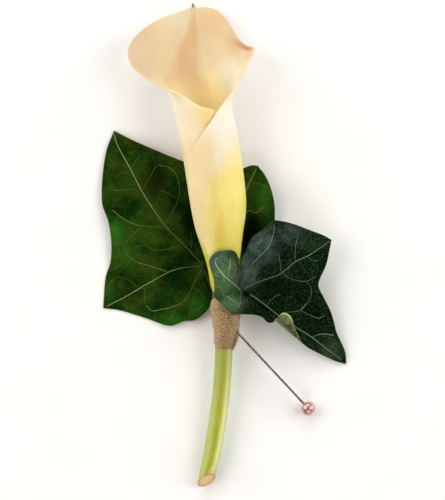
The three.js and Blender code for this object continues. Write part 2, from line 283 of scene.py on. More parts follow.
# Pattern coordinates on a long piece: the attribute that runs round it, and its height, which is
# shortened so that the pattern is drawn out twentyfold along the piece.
def drawnOut(tree, around):
    height = addNode(tree, "Math", {0: "height", 1: 0.05}, operation="MULTIPLY")
    return addNode(tree, "CombineXYZ", {"X": around, "Y": height})


# Gives a shader its colour and a fine relief, whose depth is in millimetres.
def dress(tree, shader, color, relief, depth):
    bump = addNode(tree, "Bump", {"Height": relief, "Distance": depth * mm})
    tree.links.new(firstOutput(color), shader.inputs["Base Color"])
    tree.links.new(bump.outputs["Normal"], shader.inputs["Normal"])


# Camera: looks straight down, with a long lens, so the view shows 139 by 156 millimetres.
camera = {
    "aim": (-0.47, -1.25, 8.0),
    "distance": 2000.0,
    "seenHeight": 156.25,
    "sensorHeight": 36.0,
    "farthestSeen": 20000.0,
}


def makeCamera():
    data = bpy.data.cameras.new("camera")
    data.sensor_fit = "VERTICAL"
    data.sensor_height = camera["sensorHeight"]
    data.lens = camera["sensorHeight"] * camera["distance"] / camera["seenHeight"]
    data.clip_end = camera["farthestSeen"] * mm
    eye = bpy.data.objects.new("camera", data)
    eye.location = place(camera["aim"]) + Vector((0, 0, camera["distance"] * mm))
    bpy.context.collection.objects.link(eye)
    bpy.context.scene.camera = eye


# Studio: a pale table, two large softboxes at the sides, and weaker ones at head and foot. Places
# and sizes in metres, power in watts. The lamps' target is a point of the drawing.
studio = {
    "lampTarget": (0, 0, 5),
    "floorSize": 8.0,
    "floorColor": "#f9f8f6",
    "softboxes": {
        "leftSoftbox": {"at": (-0.7, 0.2, 0.48), "size": (0.8, 1.1), "power": 7.4, "color": "#fffcf8"},
        "rightSoftbox": {"at": (0.7, 0.12, 0.45), "size": (0.7, 1.1), "power": 6.4, "color": "#fffdf9"},
        "headSoftbox": {"at": (-0.05, 0.8, 0.5), "size": (0.8, 0.4), "power": 3.9, "color": "#ffffff"},
        "footSoftbox": {"at": (0.1, -0.8, 0.6), "size": (0.8, 0.4), "power": 2.8, "color": "#ffffff"},
    },
    "skyStops": ((0.0, "#e8e8e8"), (0.52, "#d9d9d9"), (0.7, "#6a6a6a"), (1.0, "#2e2e2e")),
    "skyStrength": 0.46,
}


def makeFloor():
    bm = bmesh.new()
    bmesh.ops.create_grid(bm, x_segments=1, y_segments=1, size=studio["floorSize"] / 2)
    mesh = bpy.data.meshes.new("table")
    bm.to_mesh(mesh)
    bm.free()
    floor = bpy.data.objects.new("table", mesh)
    bpy.context.collection.objects.link(floor)
    # Painted board: dead matt and pale, with hardly any tone of its own, in clouds 20 mm wide.
    material, tree, shader, flat = newMaterial("tableMattPaint", Roughness=0.9)
    grain = addNode(tree, "TexNoise", {"Vector": flat, "Scale": 0.05})
    color = tinted(tree, studio["floorColor"], [(grain, 0.3, 0.7, 1.0, "#f6f5f3")])
    dress(tree, shader, color, grain, 0.01)
    mesh.materials.append(material)


def makeLights():
    target = place(studio["lampTarget"])
    for name, box in studio["softboxes"].items():
        data = bpy.data.lights.new(name, "AREA")
        data.shape = "RECTANGLE"
        data.size, data.size_y = box["size"]
        data.energy = box["power"]
        data.color = hexColor(box["color"])[:3]
        lamp = bpy.data.objects.new(name, data)
        lamp.location = box["at"]
        lamp.rotation_euler = (target - Vector(box["at"])).to_track_quat("-Z", "Y").to_euler()
        lamp.visible_camera = False
        bpy.context.collection.objects.link(lamp)


# The sky is pale at the horizon and dark overhead, so dark leaves stay dark from above.
def makeSky():
    world = bpy.data.worlds.new("studioRoom")
    world.use_nodes = True
    tree = world.node_tree
    coordinates = addNode(tree, "TexCoord")
    split = addNode(tree, "SeparateXYZ", {"Vector": coordinates.outputs["Generated"]})
    height = addNode(tree, "MapRange", {"Value": split.outputs["Z"], "From Min": -1.0, "From Max": 1.0})
    ramp = addNode(tree, "ValToRGB", {"Fac": height}, studio["skyStops"])
    background = tree.nodes["Background"]
    tree.links.new(ramp.outputs["Color"], background.inputs["Color"])
    background.inputs["Strength"].default_value = studio["skyStrength"]
    bpy.context.scene.world = world


bpy.context.scene.view_settings.view_transform = "Standard"
makeCamera()
makeFloor()
makeLights()
makeSky()
print("camera, table and lights made")


# The middle line of stem and flower from the cut end up: y, x, z and the tube's radius.
middleLine = [
    (-76, -6.1, 2.75, 2.8), (-64, -3.5, 3.9, 2.8), (-54, -1.9, 5.0, 2.8), (-44, -0.7, 6.1, 2.8),
    (-32, 0.0, 7.3, 2.8), (-24, 0.3, 8.3, 2.8), (-16, 0.6, 9.2, 3.1), (-12, 0.3, 9.6, 4.0),
    (-6, -0.2, 10.2, 4.7), (-1, -0.85, 10.8, 5.7), (4.5, -1.5, 11.5, 7.0), (10, -1.85, 12.2, 8.15),
    (16, -2.35, 12.9, 8.7), (28, -4.0, 13.8, 8.9), (36, -5.5, 14.2, 8.9), (42, -6.7, 14.4, 9.0),
    (50, -8.0, 14.6, 9.2), (60, -9.4, 14.7, 9.3), (76, -10.2, 14.7, 9.3),
]

# The tape's outside from its lower edge up: y, x, z and radius.
tapeLine = [
    (-32.2, 0.05, 7.3, 2.95), (-30.6, 0.4, 7.6, 3.35), (-27.7, 0.75, 8.0, 3.95),
    (-23.5, 0.65, 8.4, 4.25), (-19.3, 0.4, 8.85, 4.75), (-16.5, 0.6, 9.15, 4.4),
]
tapeBottomY = tapeLine[0][0]
tapeTopY = tapeLine[-1][0]


# Spathe

# Its free edge runs from the hidden inner corner over the lip's tip and the curled right corner to
# the outer corner: x, y, z and the turn round the tube in degrees. The short lists at both ends lie
# on the tube, as y and turn.
# A fade is a share, where it starts and where it is full. An area is a share, where it starts and is
# full sideways, and the same in y. Sideways is x, or how far across the tube, from -1 at its left
# side to 1 at its right. A spot is its middle's x and y, its half sizes and its share.
spathe = {
    "baseY": -17.2,
    "innerBaseTurn": -165,
    "turnPitch": 1.05,
    "flareStartY": 33,
    "flareShape": 3.0,
    "sideFlareShape": 7.5,
    "thickness": 0.42,
    "rimWidth": 0.12,
    "closedTube": (-20, 30),
    "narrowSides": [(-130, 45, 1.0), (100, 30, 0.8)],
    "stepsPerPoint": 8,
    "rows": 120,
    "hiddenEdge": [(22, -200), (29, -203), (36, -206)],
    "frontEdge": [(37.5, 174), (34.1, 192), (30.3, 211), (25.6, 226), (20.0, 236), (13.0, 242), (5.0, 245)],
    "leftLip": [
        (-2.2, 41.6, 21.6, -209), (-7.5, 43.4, 22.6, -184), (-12.8, 46.6, 22.0, -163),
        (-19.1, 49.4, 20.0, -140), (-24.4, 52.2, 17.8, -122), (-28.4, 55.6, 15.2, -106),
        (-30.0, 59.7, 12.2, -90), (-28.8, 64.1, 8.8, -72), (-24.7, 68.2, 5.4, -53),
        (-20.0, 71.1, 3.0, -36), (-14.4, 73.3, 1.6, -18), (-10.4, 74.6, 0.9, -6),
    ],
    "lipTip": (-9.7, 76.2, 0.7, -3),
    "topLip": [
        (-9.0, 74.6, 0.9, 0), (-5.7, 74.9, 1.2, 8), (-2.2, 73.8, 1.9, 19), (0.6, 71.3, 3.0, 31),
        (2.7, 68.1, 5.0, 42), (4.7, 64.8, 7.6, 53), (7.0, 62.5, 10.6, 64),
    ],
    "curledCorner": (9.6, 61.9, 14.4, 72),
    "rightLip": [
        (8.8, 59.1, 15.6, 79), (7.2, 56.2, 17.0, 86), (5.3, 51.9, 18.4, 96),
        (2.8, 48.1, 19.8, 113), (0.6, 45.3, 21.0, 128), (-2.1, 41.6, 22.4, 151),
    ],
    "creaseX": -9.3,
    "creaseDepth": 0.2,
    "creaseWidth": 1.1,
    "creaseHeight": (1.0, 65, 74),
    "creaseTurn": (1.0, 90, 60),
    "girth": 50.0,
    "restingGap": 0.05,
    # Where the colours of the outside lie.
    "frontSide": (1.0, -0.9, 0.15),
    "innerFlap": (1.0, 80, 140, 18, 30),
    "plainPeach": 0.1,
    "flapPeach": 0.5,
    "lowPeach": (0.9, 44, 6),
    "leftPeach": (0.9, 1, -5, 43, 27),
    "yellowLimit": [(-10, -0.8), (0, -0.6), (6.5, -0.5), (17.5, -0.2), (30, 0.6), (36, 0.9), (50, 1.5)],
    "yellowEdge": (1.0, -0.6, 0.6),
    "yellowThins": (0.9, 8, 50),
    "yellowBehind": (0.7, 38, 5),
    # Painted glow: the golden throat's light showing through the thin inner flap.
    "flapGlowSpots": [(-4.8, 41.0, 5.0, 7.0, 0.6)],
    "frontGoldSpots": [(-3.0, 16.0, 1.3, 8.0, 0.6), (-1.2, 3.0, 1.8, 7.5, 1.0)],
    "greenLimit": [(-8, 0.55), (-1, 0.74), (3, 0.86), (9, 0.98), (20, 1.15)],
    "greenBand": (0.9, -0.08, 0.08, 15, -2),
    "greenLeftEdge": (0.3, -0.75, -1.0, 30, 2),
    "greenRightEdge": (0.5, 0.6, 1.0, 32, 12),
    "greenLow": (0.75, -0.6, 0.0, 12, -7),
    "greenBehind": (0.6, 28, -3),
    "greenFoot": (0.9, -5, -14),
    # Where the colours of the inside lie. The wedge is y and the x of its left and right sides.
    # The wedge is partly the skin's own peach and partly painted shade of the hollow back wall.
    "wedge": [
        (44, -10.0, -1.5), (46, -12.0, -2.8), (49, -15.0, -4.1), (52, -16.4, -5.9), (55, -16.3, -7.6),
        (58, -15.8, -8.1), (64, -13.2, -7.9), (67.5, -11.9, -8.0), (73, -10.4, -8.6),
    ],
    "wedgeSoftness": [(72, 0.9), (54, 3.4)],
    "wedgeTop": (1.0, 77, 68),
    "wedgeFloor": 0.22,
    "wedgeRises": (0.78, 43, 61),
    "lipPeachSpots": [(-4.5, 70.0, 10.5, 6.0, 0.55), (4.5, 61.6, 4.5, 2.2, 0.55)],
    "rightOfCrease": (1.0, -10.2, -8.0),
    # The throat's gold is partly its own colour and partly painted glow of light through the wall.
    "throat": (1.0, 5.5, -3.0, 63, 44),
    "throatLeft": (1.0, -21, -13),
    "throatDepth": (1.0, 43, 37),
    "creamSpots": [(2.4, 53.5, 4.4, 7.0, 1.0), (-14.8, 71.0, 4.5, 2.8, 0.5)],
    # Painted shade: darker towards the left lip's edge, and on the right lip.
    "leftLipShade": (1.0, -16.5, -27.0),
    "rightLipShade": (0.75, -4, 4, 52, 63),
    # Painted shade: reddish under the curled right corner and faint along the crease at the tip.
    "foldShadeLine": ((-1.5, 66.5), (7.9, 61.3)),
    "foldShadeWidths": (2.4, 0.8),
    "foldShadeShares": (0.15, 1.0),
    "creaseShadeWidth": 0.6,
    "creaseShade": (0.12, 64, 72),
    "dryTip": (1.0, 74.2, 75.3),
    "dryTipWidth": 1.3,
    "dryTipColor": "#5f5226",
}
# The attributes of the spathe's mesh, in the order in which spatheTints gives them.
spatheMarks = (
    "alongTurn", "height", "outPeach", "outYellow", "outGold", "outGreen", "inThroat", "inCream",
    "inLip", "inPeach", "inFold", "tip",
)


# A point of the rolled tube, whose wall spirals outwards so that one flap lies over the other.
def tubePoint(turn, y):
    x, z, radius = stationAt(middleLine, y)
    return onRound(x, y, z, radius + spathe["turnPitch"] * turn / 360, math.radians(turn))


def spatheEdge():
    def onTube(edge):
        return [(*tubePoint(turn, y), turn) for y, turn in edge]

    steps = spathe["stepsPerPoint"]
    hidden = onTube(spathe["hiddenEdge"])
    front = onTube(spathe["frontEdge"])
    left = smoothLine([*hidden, *spathe["leftLip"], spathe["lipTip"]], steps)
    top = smoothLine([spathe["lipTip"], *spathe["topLip"], spathe["curledCorner"]], steps)
    right = smoothLine([spathe["curledCorner"], *spathe["rightLip"], *front], steps)
    return left + top[1:] + right[1:]


def fade(name, value):
    share, start, full = spathe[name]
    return share * smoothStep(value, start, full)


def area(name, side, y):
    share, sideStart, sideFull, yStart, yFull = spathe[name]
    return share * smoothStep(side, sideStart, sideFull) * smoothStep(y, yStart, yFull)


# Outside: cream above, peach on the left, yellow that spreads downwards from the right, then green.
# The gold on the inner flap is painted glow of light coming through it; the lower gold streaks are
# the skin's own.
def outerTints(x, y, turn):
    across = math.sin(math.radians(turn))
    front = fade("frontSide", -math.cos(math.radians(turn)))
    flap = area("innerFlap", -turn, y)
    lowPeach = spathe["plainPeach"] + fade("lowPeach", y)
    peach = max(lowPeach, spathe["flapPeach"] * flap, area("leftPeach", x, y))
    limit, = stationAt(spathe["yellowLimit"], y)
    frontYellow = fade("yellowEdge", across - limit) * (1 - fade("yellowThins", y))
    yellow = lerp(fade("yellowBehind", y), frontYellow, front)
    flapGlow = strongest(spathe["flapGlowSpots"], x, y) * flap
    frontGold = strongest(spathe["frontGoldSpots"], x, y) * front
    greenFrom, = stationAt(spathe["greenLimit"], y)
    green = max(
        area("greenBand", -across - greenFrom, y), area("greenLeftEdge", across, y),
        area("greenRightEdge", across, y) * front, area("greenLow", across, y),
        fade("greenBehind", y) * (1 - front), fade("greenFoot", y),
    )
    return peach, yellow, max(flapGlow, frontGold), green


# Inside: a tan wedge that bends into a golden throat, pale patches, darker lips and a reddish fold.
# The wedge is partly the skin's own deeper peach and partly painted shade on the hollow back wall;
# the throat's gold is partly its own and partly painted glow of light that comes through the wall;
# the darker lips, the reddish fold and the line along the crease are painted shade.
def innerTints(x, y):
    # The wedge: peach of its own and painted shade of the hollow back wall.
    left, right = stationAt(spathe["wedge"], y)
    (softStart, least), (softEnd, most) = spathe["wedgeSoftness"]
    soft = lerp(least, most, clamp((y - softStart) / (softEnd - softStart)))
    wedge = smoothStep(x, left - soft, left + soft) * smoothStep(x, right + soft, right - soft)
    wedge *= fade("wedgeTop", y) * (spathe["wedgeFloor"] + fade("wedgeRises", y))
    peach = max(wedge, strongest(spathe["lipPeachSpots"], x, y) * fade("rightOfCrease", x))
    # The throat: partly its own gold and partly painted glow.
    throat = max(area("throat", x, y) * fade("throatLeft", x), fade("throatDepth", y))
    cream = strongest(spathe["creamSpots"], x, y)
    # Painted shade on the lips.
    lip = max(fade("leftLipShade", x), area("rightLipShade", x, y))
    # Painted shade along the fold under the curled corner and along the crease.
    foldStart, foldEnd = (Vector(end) for end in spathe["foldShadeLine"])
    line = foldEnd - foldStart
    along = clamp((Vector((x, y)) - foldStart).dot(line) / line.length_squared)
    away = (Vector((x, y)) - foldStart.lerp(foldEnd, along)).length
    fold = bell(away, lerp(*spathe["foldShadeWidths"], along)) * lerp(*spathe["foldShadeShares"], along ** 2)
    crease = bell(x - spathe["creaseX"], spathe["creaseShadeWidth"]) * fade("creaseShade", y)
    return throat, cream, lip, peach, max(fold, crease)


def spatheTints(point, turn):
    x, y = point.x, point.y
    tip = fade("dryTip", y) * bell(x - spathe["lipTip"][0], spathe["dryTipWidth"])
    return turn / 360 * spathe["girth"], y, *outerTints(x, y, turn), *innerTints(x, y), tip


def makeSpathe(materials):
    edge = spatheEdge()
    columns = len(edge) - 1

    def sheetPoint(u, v):
        x, y, z, turn = edge[round(u * columns)]
        baseTurn = turn * spathe["innerBaseTurn"] / spathe["hiddenEdge"][0][1] if turn < 0 else turn
        height = lerp(spathe["baseY"], y, v)
        reach = max(0, (height - spathe["flareStartY"]) / max(y - spathe["flareStartY"], 1))
        narrow = max(share * bell(turn - side, spread) for side, spread, share in spathe["narrowSides"])
        bend = reach ** lerp(spathe["flareShape"], spathe["sideFlareShape"], narrow)
        tubeEnd = tubePoint(turn, y)
        here = lerp(baseTurn, turn, v)
        point = tubePoint(here, height) + bend * Vector((x - tubeEnd.x, 0, z - tubeEnd.z))
        crease = bell(point.x - spathe["creaseX"], spathe["creaseWidth"]) * fade("creaseHeight", point.y)
        point.z -= spathe["creaseDepth"] * crease * fade("creaseTurn", abs(here))
        point.z = max(point.z, spathe["thickness"] / 2 + spathe["restingGap"])
        return point, spatheTints(point, here)

    bm = bmesh.new()
    mappedGrid(bm, columns, spathe["rows"], sheetPoint, spatheMarks)
    middle = {}
    for y in range(*spathe["closedTube"]):
        x, z, _ = stationAt(middleLine, y)
        middle[y] = place((x, y, z))

    # Where the tube is closed, its outside faces away from the middle line.
    def outwards(point):
        y = round(point.y / mm - frameShift.y)
        return point - middle[y] if y in middle else Vector((0, 0, 0))

    makeSheet(
        bm, outwards, spathe["thickness"], spathe["rimWidth"],
        "callaSpathe", materials, "spathe", ["calla_spathe"],
    )


# Fresh calla spathe: a waxy, translucent skin. Light goes deep into it, so that it glows, and it
# has fine veins that run along it, half a millimetre apart, and only a broad, faint gloss.
def spatheMaterial(name, base, tints, veinTint, veinShare, glowDepth):
    material, tree, shader, flat = newMaterial(
        name, Roughness=0.48, Specular_IOR_Level=0.3, Subsurface_Weight=0.4,
        Subsurface_Radius=(1.0, 0.88, 0.7), Subsurface_Scale=glowDepth * mm,
    )
    veins = addNode(tree, "TexNoise", {"Vector": drawnOut(tree, "alongTurn"), "Scale": 2.2, "Detail": 3.0})
    mottle = addNode(tree, "TexNoise", {"Vector": flat, "Scale": 0.12})
    layers = [(mark, 0.0, 1.0, 1.0, tint) for mark, tint in tints]
    layers.append((veins, 0.5, 0.75, veinShare, veinTint))
    layers.append((mottle, 0.4, 0.75, 0.12, "#fff6e2"))
    dress(tree, shader, tinted(tree, base, layers), veins, 0.02)
    return material


def spatheRimMaterial():
    # The cut-thin edge of the same skin: paler, because light comes through it.
    material, tree, shader, flat = newMaterial(
        "callaSpatheThinEdge", Roughness=0.55, Subsurface_Weight=0.2, Subsurface_Scale=1.0 * mm,
    )
    mottle = addNode(tree, "TexNoise", {"Vector": flat, "Scale": 0.4})
    color = tinted(tree, "#e3cda0", [
        (mottle, 0.3, 0.7, 1.0, "#ecdab4"), ("tip", 0.0, 1.0, 1.0, spathe["dryTipColor"]),
    ])
    dress(tree, shader, color, mottle, 0.02)
    return material


spatheOuter = spatheMaterial(
    "callaSpatheOuterSkin", "#eee4d6",
    [
        # The gold: streaks of the skin's own, and painted glow on the inner flap.
        ("outPeach", "#e9d09a"), ("outYellow", "#efda74"), ("outGold", "#e8c55c"),
        ("outGreen", "#c2bc26"), ("tip", spathe["dryTipColor"]),
    ],
    "#dcb673", 0.24, 0.9,
)
spatheInner = spatheMaterial(
    "callaSpatheInnerSkin", "#d9c49c",
    [
        # Partly painted glow in the throat, partly painted shade in the wedge, painted shade on lips and
        # fold.
        ("inThroat", "#ffe4a6"), ("inCream", "#dbd1b8"), ("inLip", "#cbb391"), ("inPeach", "#d4ad7e"),
        ("inFold", "#a96b3f"), ("tip", spathe["dryTipColor"]),
    ],
    "#c9a172", 0.12, 1.4,
)
makeSpathe([spatheOuter, spatheInner, spatheRimMaterial()])
print("spathe made")


# Spadix: the finger-like spike inside the tube, set with rows of tiny florets.
spadix = {
    "baseY": -15.8,
    "topY": 33.0,
    "radius": 1.75,
    "relief": 0.24,
    "floretsAround": 11,
    "floretPitch": 0.95,
    "roundTip": 0.06,
    "roundBase": 0.01,
    "columns": 110,
    "rows": 360,
}


def makeSpadix(material):
    bm = bmesh.new()

    def skinPoint(u, v):
        y = lerp(spadix["baseY"], spadix["topY"], v)
        x, z, _ = stationAt(middleLine, y)
        turn = 2 * math.pi * u
        row = (y - spadix["baseY"]) / spadix["floretPitch"]
        bump = math.cos(turn * spadix["floretsAround"] + row * math.pi) * math.cos(row * math.pi)
        intoTip = max(0.0, (v - 1) / spadix["roundTip"] + 1)
        taper = math.sqrt(max(0.0, 1 - intoTip ** 2)) * smoothStep(v, -0.001, spadix["roundBase"])
        radius = (spadix["radius"] + spadix["relief"] * bump) * taper
        return onRound(x, y, z, radius, turn), (bump,)

    mappedGrid(bm, spadix["columns"], spadix["rows"], skinPoint, ["floret"])
    makeShell(bm, "callaSpadix", [material], "spadix", ["calla_spadix"])


def spadixMaterial():
    # Pollen-dusted florets: a dry, matt, deep yellow that darkens in the gaps between them, with
    # grains of 0.2 mm, drawn coarser than pollen is so that they show.
    material, tree, shader, flat = newMaterial("callaSpadixPollen", Roughness=0.85)
    grains = addNode(tree, "TexNoise", {"Vector": flat, "Scale": 5.0, "Detail": 2.0})
    color = tinted(tree, "#b8832a", [
        ("floret", -0.8, 0.7, 1.0, "#efc84e"), (grains, 0.45, 0.7, 0.4, "#f8e08a"),
    ])
    dress(tree, shader, color, grains, 0.06)
    return material


makeSpadix(spadixMaterial())
print("spadix made")


# Stem, round and fleshy, with a slanting knife cut at its lower end. Ribs are how many and how high.
stem = {
    "cutY": -73.4,
    "cutSlope": 0.62,
    "cutTilt": 0.42,
    "topY": -16.2,
    "shearLength": 6,
    "radius": 2.8,
    "boundRadius": 2.4,
    "squeezedFrom": (-0.1, 0.6),
    "inset": 0.06,
    "ribs": (9, 0.035),
    "fineRibs": (14, 0.02),
    "unevenness": 0.09,
    "pithDip": 0.22,
    "pithRoughness": 0.05,
    "columns": 96,
    "rows": 190,
    "cutRings": 14,
    "topRings": 2,
}
stemMarks = ("turn", "height", "share")


def stemRing(turn, y):
    x, z, _ = stationAt(middleLine, y)
    squeezed = smoothStep(y - tapeBottomY, *stem["squeezedFrom"])
    (ribs, ribDepth), (fineRibs, fineDepth) = stem["ribs"], stem["fineRibs"]
    relief = ribDepth * math.cos(turn * ribs + 0.6) + fineDepth * math.cos(turn * fineRibs + y * 0.05)
    relief += stem["unevenness"] * noise.noise(Vector((math.sin(turn), math.cos(turn), y * 0.06)))
    radius = lerp(stem["radius"] + relief - stem["inset"], stem["boundRadius"], squeezed)
    return onRound(x, y, z, radius, turn)


def stemCutPoint(turn, share):
    x, z, _ = stationAt(middleLine, stem["cutY"])
    rim = stemRing(turn, stem["cutY"])
    point = Vector((x, stem["cutY"], z)).lerp(rim, share)
    point.y += stem["cutSlope"] * (point.z - z) + stem["cutTilt"] * (point.x - x)
    point.z = max(point.z, 0)
    return point


def makeStem(materials):
    bm = bmesh.new()

    def skinPoint(u, v):
        turn = 2 * math.pi * u
        y = lerp(stem["cutY"], stem["topY"], v)
        start = stemCutPoint(turn, 1.0)
        point = stemRing(turn, y)
        shear = (start.y - stem["cutY"]) * smoothStep(y, stem["cutY"] + stem["shearLength"], stem["cutY"])
        point.y += shear
        point.z = max(point.z, 0)
        return point, (turn, y, 1.0)

    mappedGrid(bm, stem["columns"], stem["rows"], skinPoint, stemMarks)

    # The cut face dips a little inside its rind, as the soft core dries first.
    def cutPoint(u, v):
        turn = 2 * math.pi * u
        point = stemCutPoint(turn, 1 - v)
        rough = stem["pithRoughness"] * noise.noise(Vector((point.x, point.z, 0)) * 2)
        dip = stem["pithDip"] * smoothStep(v, 0.02, 0.3) + rough
        point.y += dip * smoothStep(v, 0, 0.1)
        return point, (turn, stem["cutY"], 1 - v)

    mappedGrid(bm, stem["columns"], stem["cutRings"], cutPoint, stemMarks, 1)

    def topPoint(u, v):
        turn = 2 * math.pi * u
        x, z, _ = stationAt(middleLine, stem["topY"])
        middle = Vector((x, stem["topY"], z))
        return middle.lerp(stemRing(turn, stem["topY"]), 1 - v), (turn, stem["topY"], 1)

    mappedGrid(bm, stem["columns"], stem["topRings"], topPoint, stemMarks)
    bmesh.ops.remove_doubles(bm, verts=bm.verts, dist=4 * mergeDistance * mm)
    makeShell(bm, "callaStem", materials, "stem", ["calla_stem"])


def stemSkinMaterial():
    # Living stem skin: smooth, waxy and a little translucent, with broad lengthwise bands and
    # fibres 0.3 mm apart. The whitish band along its upper right is a painted highlight, and the
    # skin is painted darker towards the tape as painted shade.
    material, tree, shader, _ = newMaterial(
        "callaStemLivingSkin", Roughness=0.42, Specular_IOR_Level=0.4, Subsurface_Weight=0.2,
        Subsurface_Radius=(0.9, 1.0, 0.4), Subsurface_Scale=1.2 * mm,
    )
    lengthwise = drawnOut(tree, "turn")
    wander = addNode(tree, "TexNoise", {"Vector": lengthwise, "Scale": 0.9})
    shifted = addNode(tree, "Math", {0: wander, 1: 0.5, 2: "turn"}, operation="MULTIPLY_ADD")
    share = addNode(tree, "Math", {0: shifted, 1: 2 * math.pi}, operation="DIVIDE")
    bandsAndHighlight = addNode(tree, "ValToRGB", {"Fac": share}, [
        # The whitish stops round 0.44 are a painted highlight along the upper right.
        (0.0, "#98a64a"), (0.30, "#aab45a"), (0.38, "#cfce88"), (0.44, "#e2e0a8"), (0.48, "#c6c65a"),
        (0.52, "#9fa51c"), (0.57, "#a2a82c"), (0.64, "#b0b75a"), (0.80, "#a5b05c"), (1.0, "#98a64a"),
    ])
    stretch = addNode(tree, "VectorMath", {0: lengthwise, 1: (9.0, 5.0, 1.0)}, operation="MULTIPLY")
    fibres = addNode(tree, "TexNoise", {"Vector": stretch, "Scale": 1.0, "Detail": 2.0})
    color = tinted(tree, bandsAndHighlight, [
        (fibres, 0.5, 0.75, 0.35, "#dcdba0"), (fibres, 0.45, 0.2, 0.4, "#87922c"),
        # Painted shade: darker towards the tape. The brown by the cut is the stem's own.
        ("height", -56.0, -33.0, 0.6, "#8d9440"), ("height", -70.0, -73.2, 0.35, "#b89f62"),
    ])
    dress(tree, shader, color, fibres, 0.05)
    return material


def stemCutMaterial():
    # Knife-cut stem: moist tan pith dotted with vessel ends about 0.45 mm apart, and a thin brown
    # rind where it dries.
    material, tree, shader, flat = newMaterial(
        "callaStemKnifeCut", Roughness=0.55, Subsurface_Weight=0.3, Subsurface_Scale=1.0 * mm,
    )
    vessels = addNode(tree, "TexVoronoi", {"Vector": flat, "Scale": 2.2})
    rings = addNode(tree, "ValToRGB", {"Fac": "share"}, [
        (0.0, "#f0d49b"), (0.7, "#ecc98a"), (0.91, "#d9b274"), (0.96, "#8f6a38"), (1.0, "#5f4c20"),
    ])
    color = tinted(tree, rings, [(vessels, 0.22, 0.08, 0.5, "#b08b50")])
    dress(tree, shader, color, vessels, 0.08)
    return material


makeStem([stemSkinMaterial(), stemCutMaterial()])
print("stem made")


